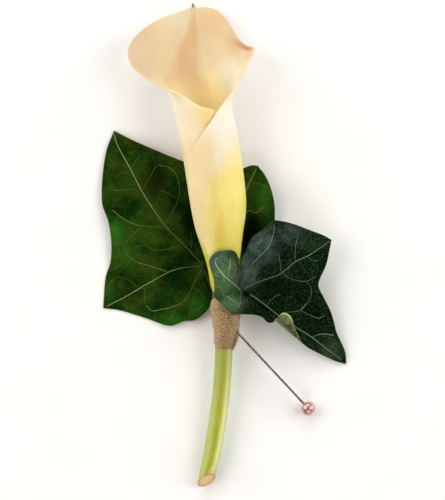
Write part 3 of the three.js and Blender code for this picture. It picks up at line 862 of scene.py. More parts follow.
# Ivy leaves. Outlines run round the stalk's junction as x, y, z, in arcs that each start at a sharp
# point and end where the next one starts. A vein is its half width at the root and at the end, its
# paleness and its points as x and y. A trench is its depth, its width and its points. Spots are
# written as the spathe's are.
backLeaf = {
    "name": "ivyLeafBack",
    "node": "ivy_leaf_back",
    "slot": "back_leaf",
    "above": False,
    "junction": (-6.2, -6.6, 3.4),
    "veinTurns": (62, 123.5, 202, 240, 350),
    "rise": 1.1,
    "arcs": [
        [(-34.5, 36.2, 0.3), (-36.9, 29.7, 0.7), (-38.1, 21.6, 1.4), (-38.2, 13.4, 2.0),
         (-36.2, 7.5, 2.6), (-35.3, 0.9, 2.4), (-35.6, -5.0, 1.2), (-37.2, -10.3, -0.4)],
        [(-37.9, -19.5, -1.6), (-33.1, -20.1, -1.4), (-27.8, -21.6, -0.8), (-23.1, -23.1, 0.2),
         (-17.2, -25.0, 0.9), (-12.5, -23.6, 1.3), (-9.1, -23.2, 1.6), (-5.9, -20.9, 2.2),
         (-3.8, -17.8, 2.8), (-3.8, -15.0, 3.1), (-3.9, -11.2, 3.3)],
        [(-2.6, -8.6, 3.3), (1.2, -9.7, 3.2), (5.9, -8.8, 3.0), (10.6, -6.2, 2.8), (14.7, -1.9, 2.8),
         (16.2, 3.4, 3.2), (15.9, 8.1, 3.8), (15.9, 12.2, 4.4), (15.3, 15.9, 4.8), (14.1, 19.7, 4.9),
         (12.5, 22.7, 4.6)],
        [(10.6, 25.1, 4.0), (8.3, 25.2, 3.9), (3.5, 23.2, 3.5), (-0.6, 21.9, 3.2), (-5.0, 24.0, 3.6),
         (-12.5, 26.4, 4.2), (-20.9, 29.8, 3.6), (-29.1, 33.4, 1.6)],
    ],
    "stalk": [
        (-7.2, -5.6, 3.3), (-5.9, -8.0, 3.6), (-4.7, -10.8, 4.3), (-3.3, -14.0, 5.1),
        (-2.5, -16.4, 5.6), (-1.7, -19.2, 6.1), (-1.75, -23.5, 5.7),
    ],
    "veins": [
        (0.16, 0.11, 0.75, [(-6.0, -6.7), (-11.9, -0.3), (-18.1, 5.9), (-22.2, 11.6), (-25.8, 17.3),
                      (-29.2, 23.9), (-33.2, 31.2), (-34.6, 35.6)]),
        (0.15, 0.11, 0.7, [(-6.2, -6.6), (-10.8, -6.5), (-16.6, -7.8), (-24.1, -11.9), (-30.9, -15.9),
                      (-37.4, -19.2)]),
        (0.16, 0.09, 0.5, [(-6.4, -6.9), (-9.1, -11.2), (-12.2, -16.8), (-15.8, -18.9), (-19.3, -19.8),
                      (-22.4, -20.3), (-24.5, -18.5)]),
        (0.11, 0.08, 0.4, [(-12.2, -16.8), (-10.9, -18.6), (-10.4, -20.1), (-8.2, -19.8),
                      (-6.2, -18.1)]),
        (0.15, 0.1, 0.7, [(-6.0, -6.6), (0.6, 3.1), (7.0, 17.5), (10.3, 24.6)]),
        (0.15, 0.09, 0.5, [(-5.6, -6.2), (0.6, 1.9), (7.0, 10.6), (10.0, 10.4), (13.0, 12.8)]),
        (0.14, 0.09, 0.5, [(-18.1, 5.9), (-25.6, 6.2), (-30.9, 8.1), (-35.3, 11.6)]),
        (0.13, 0.09, 0.45, [(-25.6, 6.2), (-31.1, 0.3), (-28.5, -4.4), (-23.1, -6.2), (-17.0, -8.0)]),
        (0.12, 0.08, 0.3, [(-25.8, 17.3), (-29.4, 17.8), (-33.2, 17.3), (-36.9, 18.4)]),
        (0.1, 0.07, 0.25, [(-29.1, 22.2), (-31.2, 23.1), (-33.4, 22.2)]),
        (0.12, 0.08, 0.3, [(-25.6, 17.5), (-23.1, 21.6), (-21.0, 25.6)]),
        (0.13, 0.08, 0.4, [(-17.8, 6.9), (-14.2, 14.7), (-14.4, 20.9), (-16.6, 24.2), (-21.0, 25.6)]),
        (0.1, 0.07, 0.3, [(-28.8, 24.4), (-26.2, 29.1)]),
        (0.1, 0.07, 0.25, [(-28.0, -0.3), (-24.8, 0.0), (-21.9, -1.2), (-18.4, -1.1), (-15.0, -0.3)]),
        (0.09, 0.07, 0.2, [(-24.8, 0.0), (-24.9, 1.9)]),
        (0.09, 0.07, 0.15, [(-11.2, -1.7), (-10.0, 1.6), (-10.3, 5.0)]),
        (0.11, 0.08, 0.35, [(-23.8, -11.9), (-25.0, -15.0), (-24.5, -18.5)]),
        (0.11, 0.08, 0.35, [(-27.2, -12.7), (-30.0, -10.6), (-33.4, -9.7), (-35.2, -11.1), (-36.4, -12.8)]),
        (0.1, 0.07, 0.35, [(-10.4, -20.1), (-11.0, -22.6)]),
        (0.1, 0.07, 0.35, [(-15.8, -18.9), (-15.6, -21.0), (-17.5, -23.2)]),
        (0.09, 0.07, 0.3, [(-15.6, -21.0), (-14.1, -22.6)]),
        (0.1, 0.07, 0.25, [(-10.0, -12.9), (-7.7, -14.0), (-6.3, -16.6)]),
        (0.09, 0.07, 0.25, [(-31.4, -16.2), (-31.5, -18.1), (-29.8, -19.8)]),
        (0.09, 0.07, 0.25, [(-31.0, -0.2), (-33.0, 0.6), (-34.6, 1.4)]),
        (0.1, 0.07, 0.25, [(-28.6, -4.4), (-31.8, -5.5), (-34.9, -7.2)]),
        (0.09, 0.07, 0.2, [(-33.0, 17.4), (-35.3, 19.2), (-36.6, 22.1), (-35.7, 25.6)]),
        (0.09, 0.07, 0.2, [(-21.0, 25.6), (-22.5, 28.4)]),
        (0.09, 0.07, 0.15, [(-14.3, 15.0), (-19.6, 17.4), (-20.8, 14.5), (-22.5, 12.2)]),
        (0.1, 0.07, 0.3, [(8.5, 20.4), (11.9, 19.2), (13.7, 18.0)]),
    ],
    "trenches": [],
    "paintedSheenSpots": [],
    # Patches of fresher green.
    "toneAndSheenSpots": [
        (-34.2, 4.0, 3.0, 4.6, 0.85), (-36.0, -14.0, 2.5, 5.0, 0.4), (12.5, 15.0, 4.0, 6.0, 0.5),
        (-8.5, -19.0, 4.0, 5.0, 0.6), (-16.0, -23.5, 7.0, 2.5, 0.6), (-32.0, -3.0, 5.0, 5.0, 0.4),
    ],
    # Painted shade: near black where the blade lies in shadow beside the tube and in its hollows.
    "paintedShadeSpots": [
        (-10.0, 9.0, 4.5, 10.0, 1.0), (8.8, 5.5, 3.0, 7.0, 1.0), (-4.5, -9.0, 2.2, 7.0, 0.8),
        (-21.5, 20.5, 5.0, 7.0, 0.8), (-14.5, 14.0, 4.0, 7.0, 0.75), (-13.0, -11.5, 6.0, 3.0, 0.5),
        (-32.0, 22.0, 4.0, 4.5, 0.4),
    ],
    "rimSpots": [],
}

frontLeaf = {
    "name": "ivyLeafFront",
    "node": "ivy_leaf_front",
    "slot": "front_leaf",
    "above": True,
    "junction": (5.0, -13.9, 12.9),
    "veinTurns": (29, 63.6, 126, 197, 325.3),
    "rise": 1.0,
    "arcs": [
        [(4.8, -7.8, 13.4), (4.5, -4.2, 14.6), (3.2, -1.6, 15.2), (0.2, -1.2, 15.6),
         (-2.6, -1.8, 14.8), (-4.5, -4.4, 13.6), (-4.0, -7.5, 13.2), (-3.2, -10.3, 12.8),
         (-3.0, -13.1, 12.4), (-3.2, -15.6, 12.2), (-1.6, -17.5, 12.6), (0.2, -19.4, 12.8),
         (2.4, -21.2, 12.4), (5.0, -21.3, 11.8), (9.5, -21.6, 10.8), (11.9, -22.3, 10.2)],
        [(13.8, -24.0, 9.4), (15.3, -23.9, 9.3), (16.8, -22.8, 9.1), (18.6, -24.0, 8.4),
         (20.2, -25.4, 7.7), (22.6, -27.8, 6.7), (25.6, -31.2, 5.3), (28.6, -33.1, 4.0),
         (32.5, -35.0, 2.4), (35.3, -36.2, 1.2)],
        [(38.3, -37.0, 0.25), (38.1, -33.6, 1.4), (36.8, -30.3, 2.6), (35.2, -26.9, 3.8),
         (34.5, -24.1, 4.6), (33.3, -20.3, 5.8), (31.2, -16.1, 7.0), (29.6, -12.8, 7.8),
         (29.9, -10.3, 8.2), (31.9, -5.9, 8.4), (33.1, -0.6, 8.2)],
        [(33.6, 1.9, 7.6), (31.2, 3.3, 8.2), (27.5, 4.7, 9.0), (21.9, 6.8, 9.8), (18.8, 7.6, 9.9)],
        [(15.9, 8.1, 9.6), (14.4, 7.1, 9.2), (12.1, 5.0, 9.0), (9.0, 2.9, 9.6), (7.3, -0.4, 10.8),
         (5.4, -4.7, 12.4)],
    ],
    "stalk": [
        (6.0, -12.6, 12.7), (5.0, -14.4, 12.4), (4.7, -15.8, 12.0), (4.2, -17.2, 11.5),
        (3.5, -19.0, 10.7), (3.1, -23.0, 10.1),
    ],
    "veins": [
        (0.2, 0.1, 0.45, [(5.2, -13.9), (10.3, -11.4), (17.3, -8.8), (22.2, -5.0), (26.2, -3.1),
                     (30.3, -0.5), (33.3, 1.6)]),
        (0.18, 0.09, 0.5, [(5.2, -13.5), (6.6, -9.5), (9.4, -5.0), (13.4, -1.0), (15.3, 3.1), (15.8, 7.3)]),
        (0.36, 0.11, 0.4, [(7.9, -14.8), (12.2, -17.8), (16.5, -21.2), (22.4, -25.3), (27.3, -28.4),
                     (32.2, -32.2), (37.3, -35.9)]),
        (0.22, 0.1, 1.0, [(5.0, -13.8), (3.2, -12.1), (1.1, -10.2), (-0.4, -8.8), (-2.5, -5.6),
                     (-2.3, -3.3)]),
        (0.14, 0.08, 0.9, [(1.1, -10.2), (1.3, -8.4), (1.8, -6.1), (2.0, -3.8)]),
        (0.09, 0.06, 0.5, [(2.8, -11.6), (2.9, -9.2), (3.7, -6.6), (3.2, -4.4)]),
        (0.12, 0.08, 0.5, [(5.0, -14.0), (4.9, -17.4), (4.3, -19.4)]),
        (0.13, 0.07, 0.9, [(4.7, -18.2), (2.4, -16.7), (0.3, -15.3)]),
        (0.12, 0.07, 0.7, [(-0.4, -9.2), (-1.8, -9.4), (-3.0, -8.6)]),
        (0.13, 0.08, 0.4, [(18.0, -8.2), (17.4, -4.9), (16.9, -1.9)]),
        (0.13, 0.08, 0.4, [(22.2, -5.0), (22.3, 0.0), (23.2, 3.4)]),
        (0.13, 0.08, 0.35, [(17.8, -8.8), (21.2, -10.3), (25.6, -11.0), (29.1, -9.1)]),
        (0.12, 0.07, 0.35, [(25.6, -11.0), (27.2, -13.2), (26.7, -16.7), (23.8, -19.8)]),
        (0.11, 0.07, 0.35, [(25.9, -3.6), (27.8, -4.6), (29.7, -4.6)]),
        (0.13, 0.08, 0.4, [(18.8, -20.8), (23.8, -20.0), (25.9, -17.0)]),
        (0.12, 0.07, 0.5, [(23.8, -20.0), (26.9, -21.6), (29.7, -22.5), (31.6, -21.6)]),
        (0.11, 0.07, 0.3, [(13.4, -17.7), (15.6, -15.9), (17.8, -15.0)]),
        (0.13, 0.07, 0.8, [(27.3, -28.4), (30.9, -27.5), (34.6, -28.0)]),
    ],
    "trenches": [
        (1.5, 1.2, [(6.4, -14.8), (7.2, -15.2)]),
        (1.0, 1.1, [(8.0, -16.4), (11.4, -18.8), (15.7, -22.2)]),
    ],
    # Painted sheen: pale grey-green where the curled lobe and the lobe tips catch the light.
    "toneAndSheenSpots": [
        (-0.5, -8.0, 4.6, 8.0, 1.0), (2.0, -18.0, 4.0, 3.2, 0.8), (34.0, -32.5, 4.5, 4.0, 0.35),
        (27.0, 0.5, 6.0, 2.5, 0.2),
    ],
    # Painted sheen: grey-blue where the upper lobe and the curled lobe's top catch the light.
    "paintedSheenSpots": [
        (11.2, 1.8, 4.6, 6.0, 1.0), (-2.6, -3.6, 2.6, 3.4, 0.8), (7.8, -6.8, 2.6, 6.0, 0.9),
        (20.0, 4.0, 4.0, 3.0, 0.5),
    ],
    # Painted shade: near black in the pit by the stalk, along the trench and between some veins.
    "paintedShadeSpots": [
        (6.9, -15.0, 1.3, 1.1, 1.0), (12.0, -19.6, 3.5, 1.6, 0.8), (16.0, -13.5, 8.0, 4.5, 0.6),
        (28.0, -22.0, 5.0, 6.0, 0.5), (1.8, -2.8, 1.6, 1.6, 0.35),
    ],
    "rimSpots": [
        (-1.5, -9.0, 4.6, 16.0, 0.7), (29.0, -34.5, 7.0, 3.0, 0.6), (11.0, -22.5, 5.0, 2.0, 0.9),
        (17.0, -23.0, 2.5, 2.0, 0.9),
    ],
}

leafMarks = ("toRim", "tone", "cool", "shade", "paleRim")
leafSpots = ("toneAndSheenSpots", "paintedSheenSpots", "paintedShadeSpots", "rimSpots")
leafBuild = {
    "thickness": 0.36,
    "rimWidth": 0.1,
    "rings": 64,
    "marginSteps": 9,
    "restingHeight": 0.2,
    "riseStarts": (2, 12),
    "widestSector": 100,
    "quilting": 0.18,
    "quiltWidth": 1.6,
    "quiltEnds": 0.12,
    "waviness": 0.3,
    "wavePitch": 9.0,
    "wavesStart": (2, 9),
    "plainRim": 0.12,
    "tubeGap": 0.9,
    "underTube": 0.1,
    "onFlap": 0.7,  # of the spathe's turnPitch
    "tapeFade": 6,
    "tubeSoftness": 0.5,
    "searchSteps": 12,
    "trenchSteps": 8,
    "veinSteps": 9,
    "veinSides": 10,
    "veinJoins": (0.01, 1.4),
    "veinSlopeStep": 0.15,
    "veinStandsOut": 0.06,
    "veinRoundness": 0.25,
    "veinLeastZ": 0.02,
    "rootPaleness": 0.35,
    "stalkRadius": 0.62,
    "stalkSteps": 6,
    "stalkSides": 20,
    "stalkEnds": (0.06, 0.02),
}


# How far a leaf's blade swells at a direction from its stalk: nothing on a main vein, full
# between two of them, and nothing on both sides of the stalk.
def swell(turn, veinTurns):
    for start, end in zip(veinTurns, veinTurns[1:]):
        share = (turn - start) / (end - start)
        if 0 <= share <= 1 and end - start <= leafBuild["widestSector"]:
            return math.sin(math.pi * share) ** 2
    return 0.0


# Keeps the back leaf under the tube, and lays the front leaf over tube and tape.
def clearOfTube(x, y, z, above):
    tubeX, tubeZ, tubeRadius = stationAt(middleLine, y)
    bindingRadius = stationAt(tapeLine, y)[2]
    offTape = smoothStep(y, tapeTopY, tapeTopY + leafBuild["tapeFade"])
    wall = lerp(bindingRadius, tubeRadius, offTape) + leafBuild["tubeGap"]
    wall += leafBuild["onFlap"] * spathe["turnPitch"] if above else leafBuild["underTube"]
    across = (x - tubeX) / wall
    if abs(across) >= 1:
        return z
    bulge = wall * math.sqrt(1 - across * across)
    softness = leafBuild["tubeSoftness"]
    return smoothMax(z, tubeZ + bulge, softness) if above else -smoothMax(-z, bulge - tubeZ, softness)


# A search tree of the points of some flat paths.
def treeOf(paths):
    points = [point for path in paths for point in path]
    tree = kdtree.KDTree(len(points))
    for i, (x, y) in enumerate(points):
        tree.insert((x, y, 0), i)
    tree.balance()
    return tree


# Works out a leaf's margin and a function for its middle height at any x and y.
def leafShape(leaf):
    margin = []
    for arc, following in zip(leaf["arcs"], leaf["arcs"][1:] + leaf["arcs"][:1]):
        margin += smoothLine([*arc, following[0]], leafBuild["marginSteps"])[:-1]
    jx, jy, jz = leaf["junction"]

    def fromJunction(x, y):
        return math.degrees(math.atan2(y - jy, x - jx)) % 360, math.hypot(x - jx, y - jy)

    polar = sorted((*fromJunction(x, y), z) for x, y, z in margin)
    polar = [(polar[-1][0] - 360, *polar[-1][1:]), *polar, (polar[0][0] + 360, *polar[0][1:])]
    turns = [entry[0] for entry in polar]
    nearVeins = treeOf([smoothLine(points, leafBuild["searchSteps"]) for *_, points in leaf["veins"]])
    trenches = []
    for depth, width, points in leaf["trenches"]:
        trenches.append((depth, width, treeOf([smoothLine(points, leafBuild["trenchSteps"])])))

    def heightAt(x, y):
        turn, distance = fromJunction(x, y)
        i = min(bisect.bisect_right(turns, turn), len(turns) - 1)
        (startTurn, startRadius, startZ), (endTurn, endRadius, endZ) = polar[i - 1], polar[i]
        span = endTurn - startTurn
        share = (turn - startTurn) / span if span > 1e-6 else 0
        rimZ = lerp(startZ, endZ, share)
        t = clamp(distance / lerp(startRadius, endRadius, share))
        lift = leaf["rise"] * swell(turn, leaf["veinTurns"])
        lift *= smoothStep(distance, *leafBuild["riseStarts"])
        z = lerp(jz, rimZ, t) + lift * 4 * t * (1 - t)
        fromVein = nearVeins.find(Vector((x, y, 0)))[2]
        quilt = 1 - bell(fromVein, leafBuild["quiltWidth"])
        z += leafBuild["quilting"] * quilt * smoothStep(1 - t, 0, leafBuild["quiltEnds"])
        for depth, width, tree in trenches:
            z -= depth * bell(tree.find((x, y, 0))[2], width)
        wave = noise.noise(Vector((x, y, jz)) / leafBuild["wavePitch"])
        z += leafBuild["waviness"] * wave * smoothStep(distance, *leafBuild["wavesStart"])
        return max(clearOfTube(x, y, z, leaf["above"]), leafBuild["restingHeight"])

    return margin, heightAt


# Moves the ends of the thinner veins onto the thicker ones that they spring from or run into.
def joinedVeins(leaf):
    nearest, farthest = leafBuild["veinJoins"]
    joined = []
    for *size, points in leaf["veins"]:
        points = list(points)
        if joined:
            tree = treeOf([path for *_, path in joined])
            for end in (0, -1):
                found, _, away = tree.find((*points[end], 0))
                if nearest < away < farthest:
                    points[end] = (found.x, found.y)
        joined.append((*size, smoothLine(points, leafBuild["veinSteps"])))
    return joined


def makeLeaf(leaf, materials, ribMaterial, stalkMaterial):
    margin, heightAt = leafShape(leaf)
    jx, jy, _ = leaf["junction"]
    columns = len(margin)
    bm = bmesh.new()

    def bladePoint(u, v):
        x, y, _ = margin[round(u * columns) % columns]
        px, py = lerp(jx, x, v), lerp(jy, y, v)
        toRim = (1 - v) * math.hypot(x - jx, y - jy)
        *tints, rim = (strongest(leaf[spots], px, py) for spots in leafSpots)
        return (px, py, heightAt(px, py)), (toRim, *tints, max(rim, leafBuild["plainRim"]))

    mappedGrid(bm, columns, leafBuild["rings"], bladePoint, leafMarks)
    makeSheet(
        bm, upwards, leafBuild["thickness"], leafBuild["rimWidth"],
        leaf["name"], materials, leaf["slot"], [leaf["node"]],
    )

    bm = bmesh.new()
    for vein in joinedVeins(leaf):
        addVein(bm, *vein, heightAt)
    makeShell(bm, leaf["name"] + "Veins", [ribMaterial], leaf["slot"])

    def stalkRadiusAt(u):
        rootEnd, tapeEnd = leafBuild["stalkEnds"]
        full = smoothStep(u, -0.001, rootEnd) * smoothStep(1.001 - u, 0, tapeEnd)
        return leafBuild["stalkRadius"] * full

    bm = bmesh.new()
    stalkPath = smoothLine(leaf["stalk"], leafBuild["stalkSteps"])
    tubeAlong(bm, stalkPath, stalkRadiusAt, leafBuild["stalkSides"])
    makeShell(bm, leaf["name"] + "Stalk", [stalkMaterial], leaf["slot"])
    return heightAt


# A vein: a flat-oval ridge that follows the blade, square to it, and stands out on both its sides.
def addVein(bm, rootWidth, endWidth, paleness, path, heightAt):
    count = len(path) - 1
    step = leafBuild["veinSlopeStep"]
    normals = []
    for x, y in path:
        slopeX = (heightAt(x + step, y) - heightAt(x - step, y)) / (2 * step)
        slopeY = (heightAt(x, y + step) - heightAt(x, y - step)) / (2 * step)
        normals.append(Vector((-slopeX, -slopeY, 1)).normalized())

    def ringPoint(u, v):
        i = round(u * count)
        ahead = Vector(path[min(i + 1, count)]) - Vector(path[max(i - 1, 0)])
        ahead.normalize()
        width = lerp(rootWidth, endWidth, u)
        height = leafBuild["thickness"] / 2 + leafBuild["veinStandsOut"]
        height += leafBuild["veinRoundness"] * width
        if i in (0, count):
            width = height = 0.0
        turn = 2 * math.pi * v
        x = path[i][0] - ahead.y * width * math.cos(turn)
        y = path[i][1] + ahead.x * width * math.cos(turn)
        point = Vector((x, y, heightAt(x, y))) + normals[i] * height * math.sin(turn)
        point.z = max(point.z, leafBuild["veinLeastZ"])
        return point, (paleness * lerp(leafBuild["rootPaleness"], 1.0, smoothStep(u, 0.1, 0.7)),)

    mappedGrid(bm, count, leafBuild["veinSides"], ringPoint, ["paleness"])


# The front leaf's lower margin rolls up and over for a short stretch and shows its pale underside.
# Both lines run from left to right, as x and y: the fold is on the leaf's outline.
rolledFlap = {
    "fold": [(16.7, -22.8), (18.6, -23.9), (20.2, -25.3), (21.7, -26.8), (23.3, -28.5)],
    "freeEdge": [(16.8, -22.3), (18.5, -20.9), (20.2, -21.5), (21.2, -23.0), (21.8, -25.2), (23.3, -28.3)],
    "stepsPerPoint": 20,
    "rise": 1.2,
    "overhang": 0.2,
    "edgeLift": (0.3, 0.7),
    "fullFrom": 0.25,
    "columns": 56,
    "rows": 20,
    "thickness": 0.3,
    "rimWidth": 0.08,
}


def makeRolledFlap(heightAt, materials):
    lines = [smoothLine(rolledFlap[name], rolledFlap["stepsPerPoint"]) for name in ("fold", "freeEdge")]
    bm = bmesh.new()

    def flapPoint(u, v):
        fold, free = (Vector(line[round(u * (len(line) - 1))]) for line in lines)
        full = smoothStep(min(u, 1 - u), -0.01, rolledFlap["fullFrom"])
        outwards = (fold - free).normalized() * rolledFlap["overhang"] * full
        foldZ = heightAt(*fold)
        freeZ = heightAt(*free) + lerp(*rolledFlap["edgeLift"], full)
        start = Vector((*fold, foldZ))
        bulge = Vector((*(fold + outwards), max(foldZ, freeZ) + rolledFlap["rise"] * full))
        end = Vector((*free, freeZ))
        return start.lerp(bulge, v).lerp(bulge.lerp(end, v), v), (v, 1.0)

    mappedGrid(bm, rolledFlap["columns"], rolledFlap["rows"], flapPoint, ["acrossFlap", "paleRim"])
    makeSheet(
        bm, upwards, rolledFlap["thickness"], rolledFlap["rimWidth"],
        "ivyLeafFrontRolledFlap", materials, "front_leaf",
    )


# Ivy leaf, upper side: thick waxy skin over dark green flesh. It looks nearly black in shade,
# shows a faint net of pale veinlets with meshes of 2 and 4 mm, and has a soft, greenish sheen where
# it faces a light. Over its own colour lie a painted grey-blue and pale sheen and a painted
# near-black shade, where the leaf's spots put them.
def leafTopMaterial(name, look):
    material, tree, shader, flat = newMaterial(
        name, Specular_IOR_Level=0.04, Specular_Tint=hexColor("#4f9a45"),
    )
    rough = {"Vector": flat, "Detail": 6.0, "Roughness": 0.68}
    patches = addNode(tree, "TexNoise", {**rough, "Scale": 0.085})
    tinting = addNode(tree, "TexNoise", {**rough, "Scale": 0.19})
    blotches = addNode(tree, "TexNoise", {**rough, "Scale": 0.45})
    speckle = addNode(tree, "TexNoise", {"Vector": flat, "Scale": 2.2, "Detail": 2.0})
    warp = addNode(tree, "TexNoise", {"Vector": flat, "Scale": 0.4, "Detail": 1.0}).outputs["Color"]
    bent = addNode(tree, "VectorMath", {0: warp, 1: (0.9, 0.9, 0.0), 2: flat}, operation="MULTIPLY_ADD")
    edges = {"feature": "DISTANCE_TO_EDGE", "voronoi_dimensions": "2D"}
    wideNet = addNode(tree, "TexVoronoi", {"Vector": bent, "Scale": 0.24}, **edges)
    net = addNode(tree, "TexVoronoi", {"Vector": bent, "Scale": 0.55}, **edges)
    whereNet = addNode(tree, "MapRange", {
        "Value": patches, "From Min": 0.35, "From Max": 0.62, "To Max": look["netShare"],
    })
    toneAndSheenNet = addNode(tree, "MapRange", {"Value": "tone", "To Max": look["toneAndSheenNetShare"]})
    toneAndSheenBlotch, paintedSheenBlotch = (
        addNode(tree, "MapRange", {"Value": mark, "To Max": 0.75}) for mark in ("tone", "cool")
    )
    color = tinted(tree, look["deep"], [
        (patches, 0.38, 0.62, 1.0, look["fresh"]),
        (tinting, 0.45, 0.7, 0.65, look["warm"]),
        # The tone colour: fresher green on the back leaf, a painted pale sheen on the front one.
        ("tone", 0.0, 1.0, look["toneAndSheenShare"], look["tone"]),
        # Painted sheen: a grey-blue tint, and blotches of it, where the leaf catches the light.
        ("cool", 0.0, 1.0, 0.35, look["cool"]),
        (blotches, 0.58, 0.42, paintedSheenBlotch, look["cool"]),
        (blotches, 0.48, 0.62, toneAndSheenBlotch, look["toneAndSheenDark"]),
        (speckle, 0.55, 0.75, look["speckShare"], look["net"]),
        (wideNet, 0.03, 0.0, whereNet, look["net"]),
        (net, 0.05, 0.0, 0.06, look["net"]),
        (wideNet, 0.05, 0.0, toneAndSheenNet, look["paleNet"]),
        # Painted shade: near black where the shade spots lie.
        ("shade", 0.0, 1.0, 0.85, "#010400"),
        ("toRim", 0.4, 0.05, "paleRim", "#8d9a4e"),
    ])
    gloss = addNode(tree, "MapRange", {
        "Value": tinting, "From Min": 0.3, "From Max": 0.7,
        "To Min": look["roughness"] - 0.04, "To Max": look["roughness"] + 0.08,
    })
    tree.links.new(gloss.outputs["Result"], shader.inputs["Roughness"])
    dress(tree, shader, color, speckle, 0.03)
    return material


def leafUnderMaterial():
    # Ivy leaf, underside: paler, matt and felt-soft, with the net's 2.5 mm meshes standing out.
    material, tree, shader, flat = newMaterial(
        "ivyLeafMattUnderside", Roughness=0.7, Specular_IOR_Level=0.3,
    )
    patches = addNode(tree, "TexNoise", {"Vector": flat, "Scale": 0.2, "Detail": 3.0})
    net = addNode(tree, "TexVoronoi", {"Vector": flat, "Scale": 0.4}, feature="DISTANCE_TO_EDGE")
    color = tinted(tree, "#4d6132", [(patches, 0.3, 0.7, 1.0, "#68794a"), (net, 0.06, 0.0, 0.5, "#92a068")])
    dress(tree, shader, color, patches, 0.1)
    return material


def leafMarginMaterial():
    # The leaf's thin margin: a line of gristle, pale yellow-green where it stands out.
    material, tree, shader, flat = newMaterial("ivyLeafMargin", Roughness=0.45)
    wander = addNode(tree, "TexNoise", {"Vector": flat, "Scale": 0.3})
    pale = tinted(tree, "#96a048", [(wander, 0.35, 0.65, 1.0, "#c2c673")])
    dress(tree, shader, tinted(tree, "#142409", [("paleRim", 0.0, 1.0, 1.0, pale)]), wander, 0.03)
    return material


def flapMaterial():
    # The rolled margin's underside: olive skin, matt, darker in the fold and pale at its edge.
    material, tree, shader, flat = newMaterial("ivyLeafRolledUnderside", Roughness=0.6)
    patches = addNode(tree, "TexNoise", {"Vector": flat, "Scale": 0.6, "Detail": 3.0})
    color = tinted(tree, "#3f4a20", [
        (patches, 0.35, 0.7, 1.0, "#66733a"), ("acrossFlap", 0.4, 0.0, 0.55, "#4d4420"),
        ("acrossFlap", 0.88, 0.98, 0.9, "#b9bf8a"),
    ])
    dress(tree, shader, color, patches, 0.08)
    return material


def veinMaterial(name, dull, pale):
    # Leaf veins: smooth, firm ribs, paler than the flesh they run through.
    material, tree, shader, flat = newMaterial(name, Roughness=0.55, Specular_IOR_Level=0.1)
    wander = addNode(tree, "TexNoise", {"Vector": flat, "Scale": 0.35})
    color = tinted(tree, dull, [("paleness", 0.1, 1.0, 1.0, pale), (wander, 0.4, 0.65, 0.25, dull)])
    dress(tree, shader, color, wander, 0.05)
    return material


# Painted sheen: the cool tints of both looks and the tone of the front look.
backLook = {
    "deep": "#052104", "fresh": "#233f0b", "warm": "#3a430f", "tone": "#2c6a14", "toneAndSheenShare": 0.8,
    "toneAndSheenDark": "#1d4a0c", "cool": "#2c4a20", "net": "#62803a", "netShare": 0.2, "paleNet": "#6f9a4f",
    "toneAndSheenNetShare": 0.12, "speckShare": 0.16, "roughness": 0.42,
}
frontLook = {
    "deep": "#010c02", "fresh": "#031806", "warm": "#0d1708", "tone": "#54724b", "toneAndSheenShare": 0.85,
    "toneAndSheenDark": "#284620", "cool": "#50635e", "net": "#7f987a", "netShare": 0.1, "paleNet": "#a9c0a4",
    "toneAndSheenNetShare": 0.16, "speckShare": 0.2, "roughness": 0.4,
}
leafUnder = leafUnderMaterial()
leafMargin = leafMarginMaterial()
stalkSkin = veinMaterial("ivyStalkSkin", "#232d0f", "#3a4519")
backTop = leafTopMaterial("ivyBackLeafWaxySkin", backLook)
frontTop = leafTopMaterial("ivyFrontLeafWaxySkin", frontLook)
backRibs = veinMaterial("ivyBackLeafVeins", "#465a18", "#c4be80")
frontRibs = veinMaterial("ivyFrontLeafVeins", "#575a3c", "#afc0a6")
makeLeaf(backLeaf, [backTop, leafUnder, leafMargin], backRibs, stalkSkin)
frontHeight = makeLeaf(frontLeaf, [frontTop, leafUnder, leafMargin], frontRibs, stalkSkin)
makeRolledFlap(frontHeight, [flapMaterial(), frontTop, leafMargin])
print("ivy leaves made")


# Floral tape: a stretched crepe-paper strip wound upwards in overlapping laps. Its loose end lies
# on the binding's right side and lifts off at its free edge: endTurns is where it starts, and that
# edge's top and bottom, in degrees. The pin has torn a slot, which runs in from the right and is
# open above.
tape = {
    "lapHeight": 5.2,
    "lapRelief": 0.22,
    "lapEdge": 0.06,
    "unevenness": 0.14,
    "crinkle": 0.05,
    "closedShare": 0.03,
    "columns": 180,
    "rows": 170,
    "slotWidth": 0.5,
    "slotEnd": 0.9,
    "slotFade": 0.7,
    "slotDepth": 0.3,
    "endTopY": -28.6,
    "endBelow": 0.2,
    "endSlant": 1.2,
    "endTurns": (58, 134, 128),
    "endWander": 0.2,
    "endTurnWander": 14,
    "endGap": 0.12,
    "endLift": 0.3,
    "endColumns": 30,
    "endRows": 26,
    "endMiddle": (0.6, -29, 7.8),
    "endThickness": 0.14,
    "endRimWidth": 0.03,
}
tapeMarks = ("turn", "height", "inLap", "hole")
pinEntry = Vector((3.9, -26.7, 8.9))
pinDirection = (pinEntry - pearlCentre).normalized()


